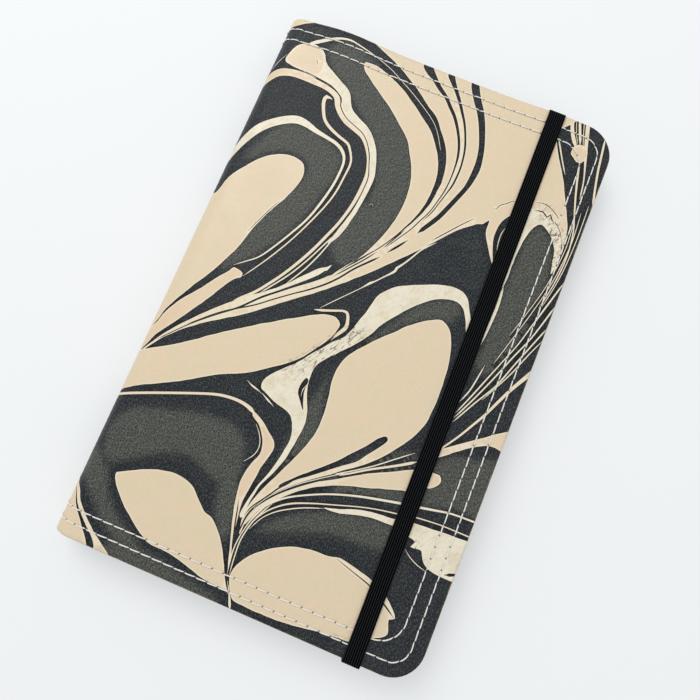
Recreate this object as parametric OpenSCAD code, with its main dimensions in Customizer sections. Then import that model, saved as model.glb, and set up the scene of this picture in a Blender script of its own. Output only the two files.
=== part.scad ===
// Elastic-closed notebook: a marbled leather cover sewn round its edge, with a hard-cover
// insert tucked into its two pockets. It lies on its back cover: X runs from the spine to the
// fore edge, Y from the tail to the head, and Z up through the pages.

/* [Cover] */
// Width of the closed book, from the spine to the fore edge
cover_w = 150; // [130:1:180]
// Height of the cover, from the tail to the head
cover_h = 234; // [200:1:270]
// Thickness of the closed book, which is also the width of the rounded spine
cover_t = 17.6; // [16:0.2:26]
// Radius of the two corners at the fore edge
corner_r = 13; // [11.5:0.5:20]
// Thickness of the marbled leather
leather_t = 1.3; // [0.8:0.1:1.6]
// Thickness of the lining glued behind the leather
lining_t = 0.5; // [0.3:0.1:0.8]
// Thickness of the printed colour on the front
ink_t = 0.08; // [0.06:0.01:0.12]
// Bare leather left along the edge of the print
print_margin = 0.4; // [0.2:0.1:1]

/* [Pockets] */
// Thickness of the pocket leather
pocket_t = 0.9; // [0.6:0.1:1.2]
// Depth of each pocket, from the fore edge inwards
pocket_w = 95; // [50:1:110]

/* [Stitching] */
// Distance of the outer row from the edge
outer_row = 5.5; // [4:0.1:6]
// Distance of the inner row from the edge
inner_row = 10.8; // [8:0.1:11]
// Radius of the outer row's turn at the two corners
outer_turn_r = 7.5; // [5:0.5:12]
// Radius of the inner row's turn, which follows the insert's corner
inner_turn_r = 10; // [5:0.5:14]
// Distance from one stitch to the next
stitch_pitch = 4.6; // [3.5:0.1:8]
// Length of one stitch
stitch_len = 3.7; // [2:0.1:3.8]
// Width of the thread
thread_w = 0.55; // [0.4:0.05:0.7]
// Depth of the stitching groove, which the thread fills
groove_t = 0.3; // [0.2:0.05:0.4]

/* [Elastic] */
// Width of the elastic band
elastic_w = 6.9; // [5:0.1:12]
// Thickness of the elastic band
elastic_t = 1.0; // [0.6:0.1:1.6]
// Distance from the fore edge to the middle of the band, half way up
elastic_in = 26; // [20:0.5:40]
// How much nearer the fore edge the band lies at the tail than at the head
elastic_slant = 2.8; // [0:0.1:5]
// Gap between the band and the leather
elastic_gap = 0.3; // [0.2:0.05:0.5]

/* [Insert] */
// Height of the insert's boards
board_h = 210; // [150:1:210]
// Width of the insert's boards
board_w = 128; // [100:1:128]
// Thickness of one board
board_t = 1.6; // [1:0.1:2.4]
// Thickness of the paper glued inside each board
endpaper_t = 0.2; // [0.1:0.05:0.3]
// Radius of the boards' corners at the fore edge
board_r = 8; // [4:0.5:12]
// How far the pages stand back from the boards' edges
square = 3; // [1:0.5:6]
// Thickness of the insert's spine strip
spine_strip_t = 1.2; // [0.6:0.1:1.4]

/* [Hidden] */
$fn = 64;

fore_x = cover_w / 2;
fold_x = -cover_w / 2;
spine_r = cover_t / 2;
spine_x = fold_x + spine_r;
half_h = cover_h / 2;
// half of the cut along the fold line, where the two covers part
fold_gap = 0.05;
// play round a board in its pocket, and between the pages and the pockets
fit_gap = 0.3;
page_gap = 0.1;
// the narrowest gap left open in the print
sliver = 0.05;
// one step past a face, for clean cuts
eps = 0.02;

// heights of the layers above the back cover's outer face
lining_z = leather_t;
board_z = leather_t + lining_t;
endpaper_z = board_z + board_t;
pocket_z = endpaper_z + endpaper_t;
page_z = pocket_z + pocket_t + page_gap;

// the insert, which stops short of the rounded spine
board_x0 = spine_x + 1.2;
board_x1 = min(board_x0 + board_w, fore_x - inner_row - fit_gap - 0.3);
board_half_h = min(board_h / 2, half_h - inner_row - fit_gap - 0.3);
page_x0 = spine_x + 0.1;
page_x1 = board_x1 - square;
page_half_h = board_half_h - square;
strip_half_h = board_half_h - 0.5;

// the elastic's middle line, as it lies across the front
elastic_x = fore_x - elastic_in;
elastic_leg_y = half_h + elastic_gap;
elastic_seam_z = leather_t;
elastic_top_z = cover_t + elastic_gap;
elastic_split_z = page_z;
tongue_len = 8;

// leather colours
BEIGE = [0.89, 0.82, 0.69];
DARK = [0.19, 0.21, 0.24];
OLIVE = [0.30, 0.31, 0.28];
CREAM = [0.93, 0.89, 0.80];

// The marbling is drawn on a sheet of this size, seen from above with the spine at the left,
// and stretched to the cover. A band is a middle line of [x, y, width]; a field is an outline.
SHEET_W = 139;
SHEET_H = 216.6;
SHEET_MID = -1.4;

// beige fields, where the leather's own colour shows
HEAD_CORNER = [[-76, 104], [-67, 105], [-63, 106.8], [-58, 109.2], [-54, 113], [-76, 114]];
UPPER_FIELD = [
  [-42, 113], [-36, 108.9], [-30, 106.6], [-20, 102.3], [-10, 96], [0, 88.7], [6, 81], [10.3, 71],
  [11, 64], [9.6, 54], [5.5, 43.5], [-2, 31], [-9, 21], [-16, 13.5], [-28, 4.5], [-40, -4.5],
  [-50, -14.5], [-60, -26], [-68, -37], [-74, -45], [-68, -38.5], [-60, -29], [-50, -19.8],
  [-38, -11], [-26, -1], [-14, 9], [-3, 19.5], [5, 28], [14, 38], [24, 50], [31, 55.4], [33.3, 58],
  [33.9, 53.5], [37, 47], [41, 41], [44, 36], [44, 60], [47, 69], [52, 70.4], [58, 68], [62, 62],
  [60, 71], [54, 84], [48, 94], [44, 103], [42, 113], [0, 116]];
STRIP = [
  [-35, 99.5], [-29, 99.9], [-17, 95.6], [-4, 87], [3, 80.5], [8.5, 71], [9.7, 61], [7, 47.5],
  [2, 37], [-6, 26], [-14, 14.6], [-7, 25], [-1.5, 38], [0.7, 52], [-1.5, 65], [-8, 76.5],
  [-19, 86], [-31.5, 94.5]];
SPINE_LOBE = [
  [-76, 18], [-68, 29], [-62.5, 40.5], [-54, 50], [-46, 52.8], [-40, 50], [-39.4, 44], [-44.5, 31],
  [-50.3, 13], [-58, -4.5], [-66.5, -21], [-72, -34], [-80, -20]];
SPINE_FINGER = [
  [-50, 2.4], [-48, 4.2], [-44.9, 2.6], [-46.5, 0.2], [-51, -7], [-58, -19], [-66, -31.5],
  [-74, -45], [-74, -36], [-68, -27], [-61, -13.3], [-53, -2]];
MIDDLE_FIELD = [
  [-76, -41], [-66, -36.5], [-52, -27.5], [-30, -11.5], [-15, -2], [-7, 0.9], [-3.7, -1], [-6, -9],
  [-13, -19], [-21, -25.5], [-38, -35.5], [-63, -50], [-76, -57]];
RIGHT_OVAL = [
  [-0.5, -66], [12, -54.5], [24, -44.8], [33.5, -34], [38.8, -24], [39.9, -10], [38.3, 4],
  [34.5, 12.8], [30.5, 14.8], [25, 12.3], [16, 4], [8.5, -4.2], [2.8, -12], [1.8, -22], [3.6, -37],
  [0, -52], [-5.5, -65], [-9, -80], [-5.5, -73]];
LEFT_OVAL = [
  [-57, -82], [-50, -77.4], [-40, -73.9], [-32, -74.3], [-25.5, -79], [-18.5, -82.8], [-12, -89.5],
  [-5.5, -100.5], [-3.4, -104], [-14, -102.5], [-28, -99.4], [-38, -98.2], [-48, -91.8],
  [-55.5, -84.8]];
TAIL_OVAL = [
  [-4.9, -97], [-2.5, -91], [4, -84.8], [13, -80.3], [27, -78.4], [38, -79.6], [49, -84.3],
  [54, -89.2], [52.4, -91], [53.4, -95], [48.5, -98.5], [42, -102.4], [25, -104.4], [10, -105.7],
  [-1, -105], [-4.7, -99.4]];
TAIL_CORNER = [
  [-76, -87], [-68, -91], [-60, -99.3], [-50, -106.3], [-45, -112], [-60, -116], [-78, -112]];
FORE_FINGER = [
  [46, -38], [34, -43.5], [22, -50], [10, -57.3], [0, -65], [-6, -74], [-8, -82], [-5, -75],
  [3, -65], [15, -56.6], [28, -52], [46, -46.5]];
FORE_BAND = [
  [44, -31], [53, -25], [64, -16.5], [76, -10], [76, -22], [66, -21.3], [57, -24.8], [44, -34]];
BEIGE_FIELDS = [
  HEAD_CORNER, UPPER_FIELD, STRIP, SPINE_LOBE, SPINE_FINGER, MIDDLE_FIELD, RIGHT_OVAL, LEFT_OVAL,
  TAIL_OVAL, TAIL_CORNER, FORE_FINGER, FORE_BAND];
BEIGE_BANDS = [
  [[-76, 74, 3.6], [-65, 83, 3.3], [-55, 84.9, 3], [-46, 84, 2], [-39.5, 81.5, 2.2],
   [-36, 76.5, 2.2], [-28, 72.3, 2], [-21, 67.5, 1.8], [-17, 59, 1.6], [-16.7, 48, 1.4],
   [-21.5, 28.5, 1.1], [-30.5, 9, 1], [-44, -8, 1]],
  [[-76, -59, 0.9], [-60, -51.8, 0.9], [-40, -43.8, 0.9], [-28, -41.2, 1.1], [-19, -43.6, 2],
   [-12, -50.5, 4.4], [-11.4, -60, 4], [-12.8, -70, 3.4], [-10.5, -82, 1.4], [-6.6, -96, 0.3]]];

// cream fields, in a paler colour than the ground
CREAM_BAND = [
  [-65, 90], [-63, 96], [-57, 99.2], [-51, 96.5], [-48, 92.3], [-36, 85.7], [-32.5, 80],
  [-23, 74.5], [-17.3, 67.8], [-14, 59], [-13.7, 50], [-16.5, 32], [-20, 26], [-16.2, 43],
  [-15.8, 56], [-21.5, 69], [-28, 73.4], [-35.5, 77.3], [-39, 83], [-48, 85.8], [-60, 87.5]];
CREAM_ARCH = [
  [42, 16], [37, 25.8], [30, 28.3], [20, 25.2], [10, 20], [5, 14], [2.5, 4], [-1.5, -6],
  [-10.5, -17], [-20, -28], [-21.2, -33.8], [-9, -38], [-4.6, -44], [-5, -54], [-8.4, -66],
  [-10.4, -78], [-9.2, -78], [-7, -65], [-2, -48], [-1.6, -38], [-5.8, -26.5], [-6, -19], [2, -8.5], [10.5, 4.5],
  [22, 18.5], [33, 23.6], [38.8, 18.5], [42, 11]];
FORE_BLOCK = [
  [44, -57.3], [60, -56], [76, -55.4], [76, -70.5], [60, -70], [54.3, -65], [50, -65],
  [49.8, -62.2], [44, -60.8]];
FORE_ARCH = [
  [44, 34], [45, 60], [47, 67.5], [51, 68.8], [56, 67.4], [60, 63.5], [62.8, 56], [62.4, 47],
  [61.6, 50], [60, 57], [56.5, 61.5], [52.5, 64], [50, 61.8], [48.3, 56], [47.6, 48], [47.4, 36]];
CREAM_FIELDS = [CREAM_BAND, CREAM_ARCH, FORE_BLOCK, FORE_ARCH];
CREAM_BANDS = [
  [[-76, 35, 3], [-66.5, 52, 3.4], [-59, 62.3, 3.2], [-50, 67.3, 3.2], [-42, 65.9, 1.9],
   [-33, 64.2, 1.4], [-27.8, 60.5, 1.2], [-26.8, 52, 1], [-31, 31.5, 0.9], [-38.5, 16.5, 0.8]],
  [[44, -52, 0.9], [30, -55, 0.9], [15, -59.8, 0.8], [0, -68.5, 0.7]]];

// dark lines that lie over the beige
DARK_BANDS = [
  [[-13, 109.5, 4.2], [-7, 104, 2.2], [0, 98.4, 1.5], [9, 87.5, 1.2], [13.6, 72.5, 1],
   [12.3, 57, 0.9], [7, 43, 0.9]],
  [[-3, 109.5, 3.6], [5, 99.5, 1.4], [12.8, 86, 1], [15.7, 72, 0.9], [13.2, 57, 0.8]],
  [[7.5, 110.5, 3.4], [14.5, 98, 2.8], [20.3, 84, 2.3], [21.6, 75, 2.6], [19, 62, 1.8],
   [15, 51.5, 1.8], [9.9, 42.4, 1.2]],
  [[28.2, -33.6, 1.6], [25.3, -37, 2.6], [20, -43.5, 2.4], [10, -53, 1.8], [0, -62.6, 1]]];
DARK_FIELDS = [
  [[44, 65], [39.5, 62], [37.2, 54.5], [40.3, 43.5], [44, 38], [46, 50]]];

// parts of the dark ink that dried to a browner, olive black
OLIVE_FIELDS = [
  [[-46, 104], [-30, 101], [-24, 92], [-8, 80], [2, 62], [0, 42], [-10, 20], [-20, 30], [-12, 52],
   [-20, 70], [-32, 82], [-50, 96]],
  [[-50, 66], [-34, 63], [-27.5, 56], [-32, 34], [-40, 16], [-54, 2], [-46, 32], [-38, 50],
   [-50, 54], [-62, 46], [-56, 62]],
  [[34, 24], [20, 16], [4, -12], [-4, -40], [-4, -62], [4, -44], [2, -18], [20, 9], [34, 16]],
  [[-30, -50], [-18, -56], [-18, -70], [-40, -66], [-60, -78], [-66, -70], [-60, -58]],
  [[44, -61], [24, -63], [8, -70], [-2, -80], [20, -72], [44, -69]],
  [[48, 36], [49, 58], [53, 63], [59, 56], [62, 40], [58, 8], [49, 4]],
  [[48, -34], [60, -28], [76, -26], [76, -46], [60, -47], [48, -49]]];

// a point of a smooth curve between b and c, t of the way along
function between(a, b, c, d, t) =
  0.5 * (2 * b + (c - a) * t + (2 * a - 5 * b + 4 * c - d) * t * t
         + (3 * b - a - 3 * c + d) * t * t * t);
STEPS = 2;
function closed_curve(p) = let (n = len(p)) [
  for (i = [0:n - 1], k = [0:STEPS - 1])
    between(p[(i + n - 1) % n], p[i], p[(i + 1) % n], p[(i + 2) % n], k / STEPS)];
function open_curve(p) = let (n = len(p)) concat([
  for (i = [0:n - 2], k = [0:STEPS - 1])
    between(p[max(i - 1, 0)], p[i], p[i + 1], p[min(i + 2, n - 1)], k / STEPS)], [p[n - 1]]);
function flat(v) = [v[0], v[1]];
function normal(p, i) =
  let (d = flat(p[min(i + 1, len(p) - 1)]) - flat(p[max(i - 1, 0)])) [-d[1], d[0]] / norm(d);
function band_outline(p) = concat(
  [for (i = [0:len(p) - 1]) flat(p[i]) + normal(p, i) * p[i][2] / 2],
  [for (i = [len(p) - 1:-1:0]) flat(p[i]) - normal(p, i) * p[i][2] / 2]);

// the drawn sheet, stretched to the cover
module stretched() {
  translate([-SHEET_MID * cover_w / SHEET_W, 0])
    scale([cover_w / SHEET_W, cover_h / SHEET_H]) children();
}

module fields(list) {
  for (p = list) polygon(closed_curve(p));
}

module bands(list) {
  for (p = list) polygon(band_outline(open_curve(p)));
}

module light_shapes() {
  fields(BEIGE_FIELDS);
  bands(BEIGE_BANDS);
  cream_shapes();
}

module cream_shapes() {
  fields(CREAM_FIELDS);
  bands(CREAM_BANDS);
}

module line_shapes() {
  bands(DARK_BANDS);
  fields(DARK_FIELDS);
}

// the cover's outline right of x0, inset by d, with its two corners at the fore edge
module outline(x0, d = 0) {
  x1 = fore_x - d;
  y1 = half_h - d;
  r = max(corner_r - d, 0.5);
  rounded(x0, x1, y1, r);
}

module rounded(x0, x1, y1, r) {
  translate([x0, -y1]) square([x1 - r - x0, 2 * y1]);
  translate([x1 - r - eps, -y1 + r]) square([r + eps, 2 * (y1 - r)]);
  for (s = [-1, 1]) translate([x1 - r, s * (y1 - r)]) circle(r = r);
}

// the back cover is the front cover turned over, mirrored about the middle of the pages
module turned_over() {
  translate([0, 0, cover_t]) mirror([0, 0, 1]) children();
}

// one cover's layer of thickness t, d below its outer face, with its quarter of the spine
module sheet(d, t) {
  translate([0, 0, cover_t - d - t]) linear_extrude(t) outline(spine_x);
  quarter_ring(spine_r - d, t, -half_h, half_h);
}

// the upper quarter of a tube of radius r and wall t, from y0 to y1, round the spine's axis
module quarter_ring(r, t, y0, y1) {
  intersection() {
    translate([spine_x, y1, spine_r]) rotate([90, 0, 0]) difference() {
      cylinder(r = r, h = y1 - y0);
      translate([0, 0, -eps]) cylinder(r = r - t, h = y1 - y0 + 2 * eps);
    }
    translate([spine_x - 2 * spine_r, y0 - 1, spine_r + fold_gap])
      cube([2 * spine_r, y1 - y0 + 2, 2 * spine_r]);
  }
}

// a groove for one row of stitches, d inside the edge
module groove(d) {
  w = thread_w + 0.1;
  translate([0, 0, cover_t - groove_t]) linear_extrude(groove_t + eps) row_strip(d);
  for (s = [-1, 1]) let (y = s * (half_h - d))
    quarter_ring(spine_r + eps, groove_t + eps, y - w / 2, y + w / 2);
}

// Lengths of the stretches of half a row: up the fore edge, round the corner, along the head
// and over the spine to the fold.
function turn_r(d) = d == inner_row ? inner_turn_r : outer_turn_r;
function row_side(d) = half_h - d - turn_r(d);
function row_corner(d) = turn_r(d) * PI / 2;
function row_head(d) = fore_x - d - turn_r(d) - spine_x;
function row_spine() = spine_r * PI / 2;

// a stretch holds a whole number of stitches, evenly spaced
function stitch_count(length) = max(1, round(length / stitch_pitch));
function stitch_places(length) =
  let (n = stitch_count(length)) [for (i = [0:n - 1]) (i + 0.5) * length / n];
function stitch_on(length) = min(stitch_len, 0.8 * length / stitch_count(length));

module straight_stitch(length) {
  translate([-length / 2, -thread_w / 2, -groove_t]) cube([length, thread_w, groove_t]);
}

// a stitch that follows a corner of radius r, about the corner's own middle
module bent_stitch(r, length) {
  half = length / 2 / r * 180 / PI;
  reach = 2 * r + 2;
  translate([0, 0, -groove_t]) linear_extrude(groove_t) intersection() {
    difference() {
      circle(r = r + thread_w / 2);
      circle(r = r - thread_w / 2);
    }
    polygon([[0, 0], reach * [cos(half), -sin(half)], reach * [cos(half), sin(half)]]);
  }
}

// a stitch that follows the round of the spine, about the spine's own middle
module spine_stitch(length) {
  half = length / 2 / spine_r * 180 / PI;
  reach = 2 * spine_r;
  rotate([90, 0, 0]) linear_extrude(thread_w, center = true) intersection() {
    difference() {
      circle(r = spine_r);
      circle(r = spine_r - groove_t);
    }
    polygon([[0, 0], reach * [sin(half), cos(half)], reach * [-sin(half), cos(half)]]);
  }
}

module stitch_row(d) {
  side = row_side(d);
  corner = row_corner(d);
  head = row_head(d);
  spine = row_spine();
  r = turn_r(d);
  for (half = [0, 1]) mirror([0, half, 0]) {
    for (s = stitch_places(side))
      translate([fore_x - d, s, cover_t]) rotate([0, 0, 90]) straight_stitch(stitch_on(side));
    for (s = stitch_places(corner))
      translate([fore_x - d - r, half_h - d - r, cover_t])
        rotate([0, 0, s / r * 180 / PI]) bent_stitch(r, stitch_on(corner));
    for (s = stitch_places(head))
      translate([fore_x - d - r - s, half_h - d, cover_t]) straight_stitch(stitch_on(head));
    for (s = stitch_places(spine))
      translate([spine_x, half_h - d, spine_r]) rotate([0, -s / spine_r * 180 / PI, 0])
        spine_stitch(stitch_on(spine));
  }
}

// the printed layer, where a flat shape stands on the front; slivers are rounded away
module printed() {
  translate([0, 0, cover_t]) linear_extrude(ink_t)
    offset(delta = -sliver) offset(delta = sliver) intersection() {
      outline(spine_x, print_margin);
      difference() {
        children();
        for (d = [outer_row, inner_row]) row_strip(d);
      }
    }
}

// the strip of the flat cover that a row of stitches takes
module row_strip(d) {
  w = thread_w + 0.1;
  difference() {
    rounded(spine_x, fore_x - d + w / 2, half_h - d + w / 2, turn_r(d) + w / 2);
    rounded(spine_x - 1, fore_x - d - w / 2, half_h - d - w / 2, turn_r(d) - w / 2);
  }
}

module dark_print() {
  difference() {
    square([3 * cover_w, 3 * cover_h], center = true);
    stretched() light_shapes();
  }
  stretched() line_shapes();
}

module leather() {
  difference() {
    sheet(0, leather_t);
    groove(outer_row);
    groove(inner_row);
  }
}

module cream_print() {
  difference() {
    stretched() cream_shapes();
    stretched() line_shapes();
  }
}

module dark_ink() {
  printed() difference() {
    dark_print();
    stretched() fields(OLIVE_FIELDS);
  }
}

module olive_ink() {
  printed() intersection() {
    dark_print();
    stretched() fields(OLIVE_FIELDS);
  }
}

module cream_ink() {
  printed() cream_print();
}

// the pocket: a rim on the lining, a wall round the board and a top over it
module pocket() {
  x0 = fore_x - pocket_w;
  top = pocket_z + pocket_t;
  turned_over() difference() {
    union() {
      translate([0, 0, board_z]) linear_extrude(pocket_t) outline(x0);
      translate([0, 0, board_z]) linear_extrude(top - board_z)
        rounded(x0, board_x1 + fit_gap + pocket_t, board_half_h + fit_gap + pocket_t,
                board_r + fit_gap + pocket_t);
    }
    translate([0, 0, board_z - eps]) linear_extrude(pocket_z - board_z + eps)
      rounded(x0 - 1, board_x1 + fit_gap, board_half_h + fit_gap, board_r + fit_gap);
  }
}

module board() {
  turned_over() translate([0, 0, board_z]) linear_extrude(board_t)
    rounded(board_x0, board_x1, board_half_h, board_r);
}

module endpaper() {
  turned_over() translate([0, 0, endpaper_z]) linear_extrude(endpaper_t)
    rounded(board_x0 + 0.5, board_x1 - 1, board_half_h - 1, board_r - 1);
}

// one end of the elastic, sewn between the leather and the lining, at the head (1) or tail (-1)
function elastic_end_x(side) = elastic_x - side * elastic_slant / 2;

module elastic_end(side) {
  x = elastic_end_x(side) - elastic_w / 2;
  mirror([0, side > 0 ? 0 : 1, 0]) {
    translate([x, half_h - tongue_len, elastic_seam_z])
      cube([elastic_w, tongue_len + elastic_gap + elastic_t, lining_t]);
    translate([x, elastic_leg_y, elastic_seam_z])
      cube([elastic_w, elastic_t, elastic_split_z - elastic_seam_z]);
  }
}

module elastic_notch(side) {
  x = elastic_end_x(side) - elastic_w / 2;
  mirror([0, side > 0 ? 0 : 1, 0])
    translate([x, half_h - tongue_len, elastic_seam_z - eps])
      cube([elastic_w, tongue_len + 1, lining_t + 2 * eps]);
}

module back_leather() {
  color(BEIGE) turned_over() leather();
}

module back_lining() {
  color("dimgray") difference() {
    turned_over() sheet(lining_z, lining_t);
    for (side = [-1, 1]) elastic_notch(side);
  }
}

module back_pocket() {
  color([0.2, 0.2, 0.21]) turned_over() pocket();
}

module back_outer_stitches() {
  color("white") turned_over() stitch_row(outer_row);
}

module back_inner_stitches() {
  color("white") turned_over() stitch_row(inner_row);
}

module elastic_ends() {
  color([0.06, 0.06, 0.07]) for (side = [-1, 1]) elastic_end(side);
}

module insert_back_board() {
  color([0.16, 0.16, 0.17]) turned_over() board();
}

module back_endpaper() {
  color("ivory") turned_over() endpaper();
}

module text_block() {
  color("ivory") translate([0, 0, page_z]) linear_extrude(cover_t - 2 * page_z)
    rounded(page_x0, page_x1, page_half_h, board_r - 1);
}

module insert_spine() {
  r = spine_r - leather_t - lining_t - fit_gap;
  half = sqrt(r * r - spine_strip_t * spine_strip_t);
  color([0.16, 0.16, 0.17])
    translate([spine_x - spine_strip_t, -strip_half_h, spine_r - half])
      cube([spine_strip_t, 2 * strip_half_h, 2 * half]);
}

module front_leather() {
  color(BEIGE) leather();
}

module front_dark_ink() {
  color(DARK) dark_ink();
}

module front_olive_ink() {
  color(OLIVE) olive_ink();
}

module front_cream_ink() {
  color(CREAM) cream_ink();
}

module front_lining() {
  color("dimgray") sheet(lining_z, lining_t);
}

module front_pocket() {
  color([0.2, 0.2, 0.21]) pocket();
}

module front_outer_stitches() {
  color("white") stitch_row(outer_row);
}

module front_inner_stitches() {
  color("white") stitch_row(inner_row);
}

module insert_front_board() {
  color([0.16, 0.16, 0.17]) board();
}

module front_endpaper() {
  color("ivory") endpaper();
}

module elastic_band() {
  h = elastic_w / 2;
  y = elastic_leg_y + elastic_t;
  head = elastic_end_x(1);
  tail = elastic_end_x(-1);
  color([0.06, 0.06, 0.07]) {
    translate([0, 0, elastic_top_z]) linear_extrude(elastic_t)
      polygon([[head - h, y], [head + h, y], [tail + h, -y], [tail - h, -y]]);
    for (side = [-1, 1]) mirror([0, side > 0 ? 0 : 1, 0])
      translate([elastic_end_x(side) - h, elastic_leg_y, elastic_split_z])
        cube([elastic_w, elastic_t, elastic_top_z + elastic_t - elastic_split_z]);
  }
}

back_leather();
back_lining();
back_pocket();
back_outer_stitches();
back_inner_stitches();
elastic_ends();
insert_back_board();
back_endpaper();
text_block();
insert_spine();
front_leather();
front_dark_ink();
front_olive_ink();
front_cream_ink();
front_lining();
front_pocket();
front_outer_stitches();
front_inner_stitches();
insert_front_board();
front_endpaper();
elastic_band();
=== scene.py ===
"""A notebook with a marbled leather cover, sewn round its edge and held shut by an elastic.

It lies on its back cover: X runs from the spine to the fore edge, Y from the tail to the head.
Sizes are in millimetres and become metres where a mesh is made.
"""

import math

import bpy
import numpy as np
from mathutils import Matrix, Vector
from mathutils import geometry
from mathutils import kdtree
from mathutils import noise


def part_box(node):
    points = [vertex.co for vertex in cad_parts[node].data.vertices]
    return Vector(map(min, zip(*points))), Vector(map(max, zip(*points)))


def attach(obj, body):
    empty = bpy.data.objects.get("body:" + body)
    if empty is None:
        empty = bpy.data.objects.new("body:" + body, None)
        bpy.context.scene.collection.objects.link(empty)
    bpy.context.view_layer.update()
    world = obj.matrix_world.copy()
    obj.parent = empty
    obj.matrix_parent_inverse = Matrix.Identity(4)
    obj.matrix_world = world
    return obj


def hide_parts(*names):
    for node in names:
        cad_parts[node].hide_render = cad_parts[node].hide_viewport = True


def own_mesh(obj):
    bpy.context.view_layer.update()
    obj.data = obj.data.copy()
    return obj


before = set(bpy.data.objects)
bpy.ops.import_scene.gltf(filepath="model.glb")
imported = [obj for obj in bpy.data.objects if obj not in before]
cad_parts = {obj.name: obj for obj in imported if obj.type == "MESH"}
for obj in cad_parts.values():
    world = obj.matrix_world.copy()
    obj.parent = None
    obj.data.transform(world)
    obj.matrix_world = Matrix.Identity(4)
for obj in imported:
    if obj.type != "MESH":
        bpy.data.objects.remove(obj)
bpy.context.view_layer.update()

MM = 0.001


def in_mm(box):
    """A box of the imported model, as its low and its high corner in millimetres."""
    return [tuple(v / MM for v in corner) for corner in box]


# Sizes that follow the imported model
LEATHER_LOW, LEATHER_HIGH = in_mm(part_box("front_leather"))
FOLD_X, FORE_X = LEATHER_LOW[0], LEATHER_HIGH[0]
HALF_HIGH = LEATHER_HIGH[1]
COVER_THICK = LEATHER_HIGH[2]
SPINE_R = COVER_THICK / 2
SPINE_X = FOLD_X + SPINE_R
# the spine's quarter round, rolled out flat, ends at the fold here
FOLD_U = SPINE_X - SPINE_R * math.pi / 2

# Sizes of the cover
CORNER_R = 13.0
LEATHER = 1.3
LINING = 0.5
# the rows of stitches: their distance from the edge, and the radius of their corners
OUTER_ROW = 5.5
INNER_ROW = 10.8
OUTER_ROW_CORNER = 7.5
INNER_ROW_CORNER = 10.0
STITCH_PITCH = 4.6
# bumps of the hand-cut head edge, as (place, reach, height), and where they fade out below it
HEAD_WAVES = [(-46, 15, 1.3), (52, 18, 0.9), (-66, 7, -0.6)]
HEAD_WAVE_FROM = 70

# Sizes of the pockets and the insert
BOARD_HIGH = in_mm(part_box("insert_front_board"))[1]
BOARD_CORNER = 8.0
# room between the board's edge and the leather pressed over it
BOARD_ROOM = 0.3
POCKET = 0.9
POCKET_LOW = in_mm(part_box("front_pocket"))[0]
POCKET_EDGE_X = POCKET_LOW[0]
POCKET_DEPTH_RIM = LEATHER + LINING + POCKET
POCKET_DEPTH_TOP = COVER_THICK - POCKET_LOW[2]


# Colours

def linear(red, green, blue):
    """A colour given as 0 to 255 on screen, for a shader."""
    out = []
    for value in (red, green, blue):
        v = value / 255
        out.append(v / 12.92 if v <= 0.04045 else ((v + 0.055) / 1.055) ** 2.4)
    return (*out, 1.0)


BEIGE = linear(224, 206, 175)
BEIGE_WARM = linear(227, 205, 175)
BEIGE_COOL = linear(220, 206, 173)
BEIGE_PALE = linear(238, 228, 203)
ROSE = linear(223, 197, 163)
CREAM = linear(234, 226, 203)
CREAM_SHADE = linear(222, 209, 180)
BLUE_BLACK = linear(19, 25, 31)
CHARCOAL = linear(70, 72, 66)
# painted highlights on the leather's pebbles: bright, and dimmer where the print is blue-black
PAINTED_GLINT = linear(128, 128, 119)
PAINTED_GLINT_LOW = linear(92, 96, 96)
# brown of the print's crackle lines, and of the painted shade in the needle holes
HAIRLINE_AND_HOLE_SHADE_BROWN = linear(66, 48, 36)
BROWN_BLACK = linear(17, 17, 18)
RAW_EDGE = linear(205, 178, 134)
SUEDE = linear(148, 124, 96)
THREAD_WHITE = linear(240, 238, 230)
ELASTIC_BLACK = linear(2, 3, 4)
# grey of lint and of the painted highlights on the elastic's ribs
ELASTIC_LINT_AND_HIGHLIGHT = linear(86, 88, 92)
PAPER = linear(238, 233, 216)
PAPER_SHADE = linear(228, 222, 204)
BOARD_BLACK = linear(38, 38, 41)
BOARD_WORN = linear(58, 58, 62)
LINING_GREY = linear(70, 70, 72)
LINING_PALE = linear(92, 92, 94)
POCKET_GREY = linear(52, 52, 55)
FLOOR_GREY = linear(232, 234, 234)
FLOOR_SEEN = (0.52, 0.53, 0.53, 1.0)
FLOOR_LIGHT = linear(252, 254, 255)
FLOOR_GLOW = 0.37
ROOM_LIGHT = linear(250, 252, 255)

# The marbling, drawn on a sheet in millimetres with the spine at the left and the head on top.
# A field is a closed outline of (x, y). A streak is a middle line of (x, y, width).
SHEET_WIDE = 139.0
SHEET_HIGH = 216.6
SHEET_MIDDLE = -1.4

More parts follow.
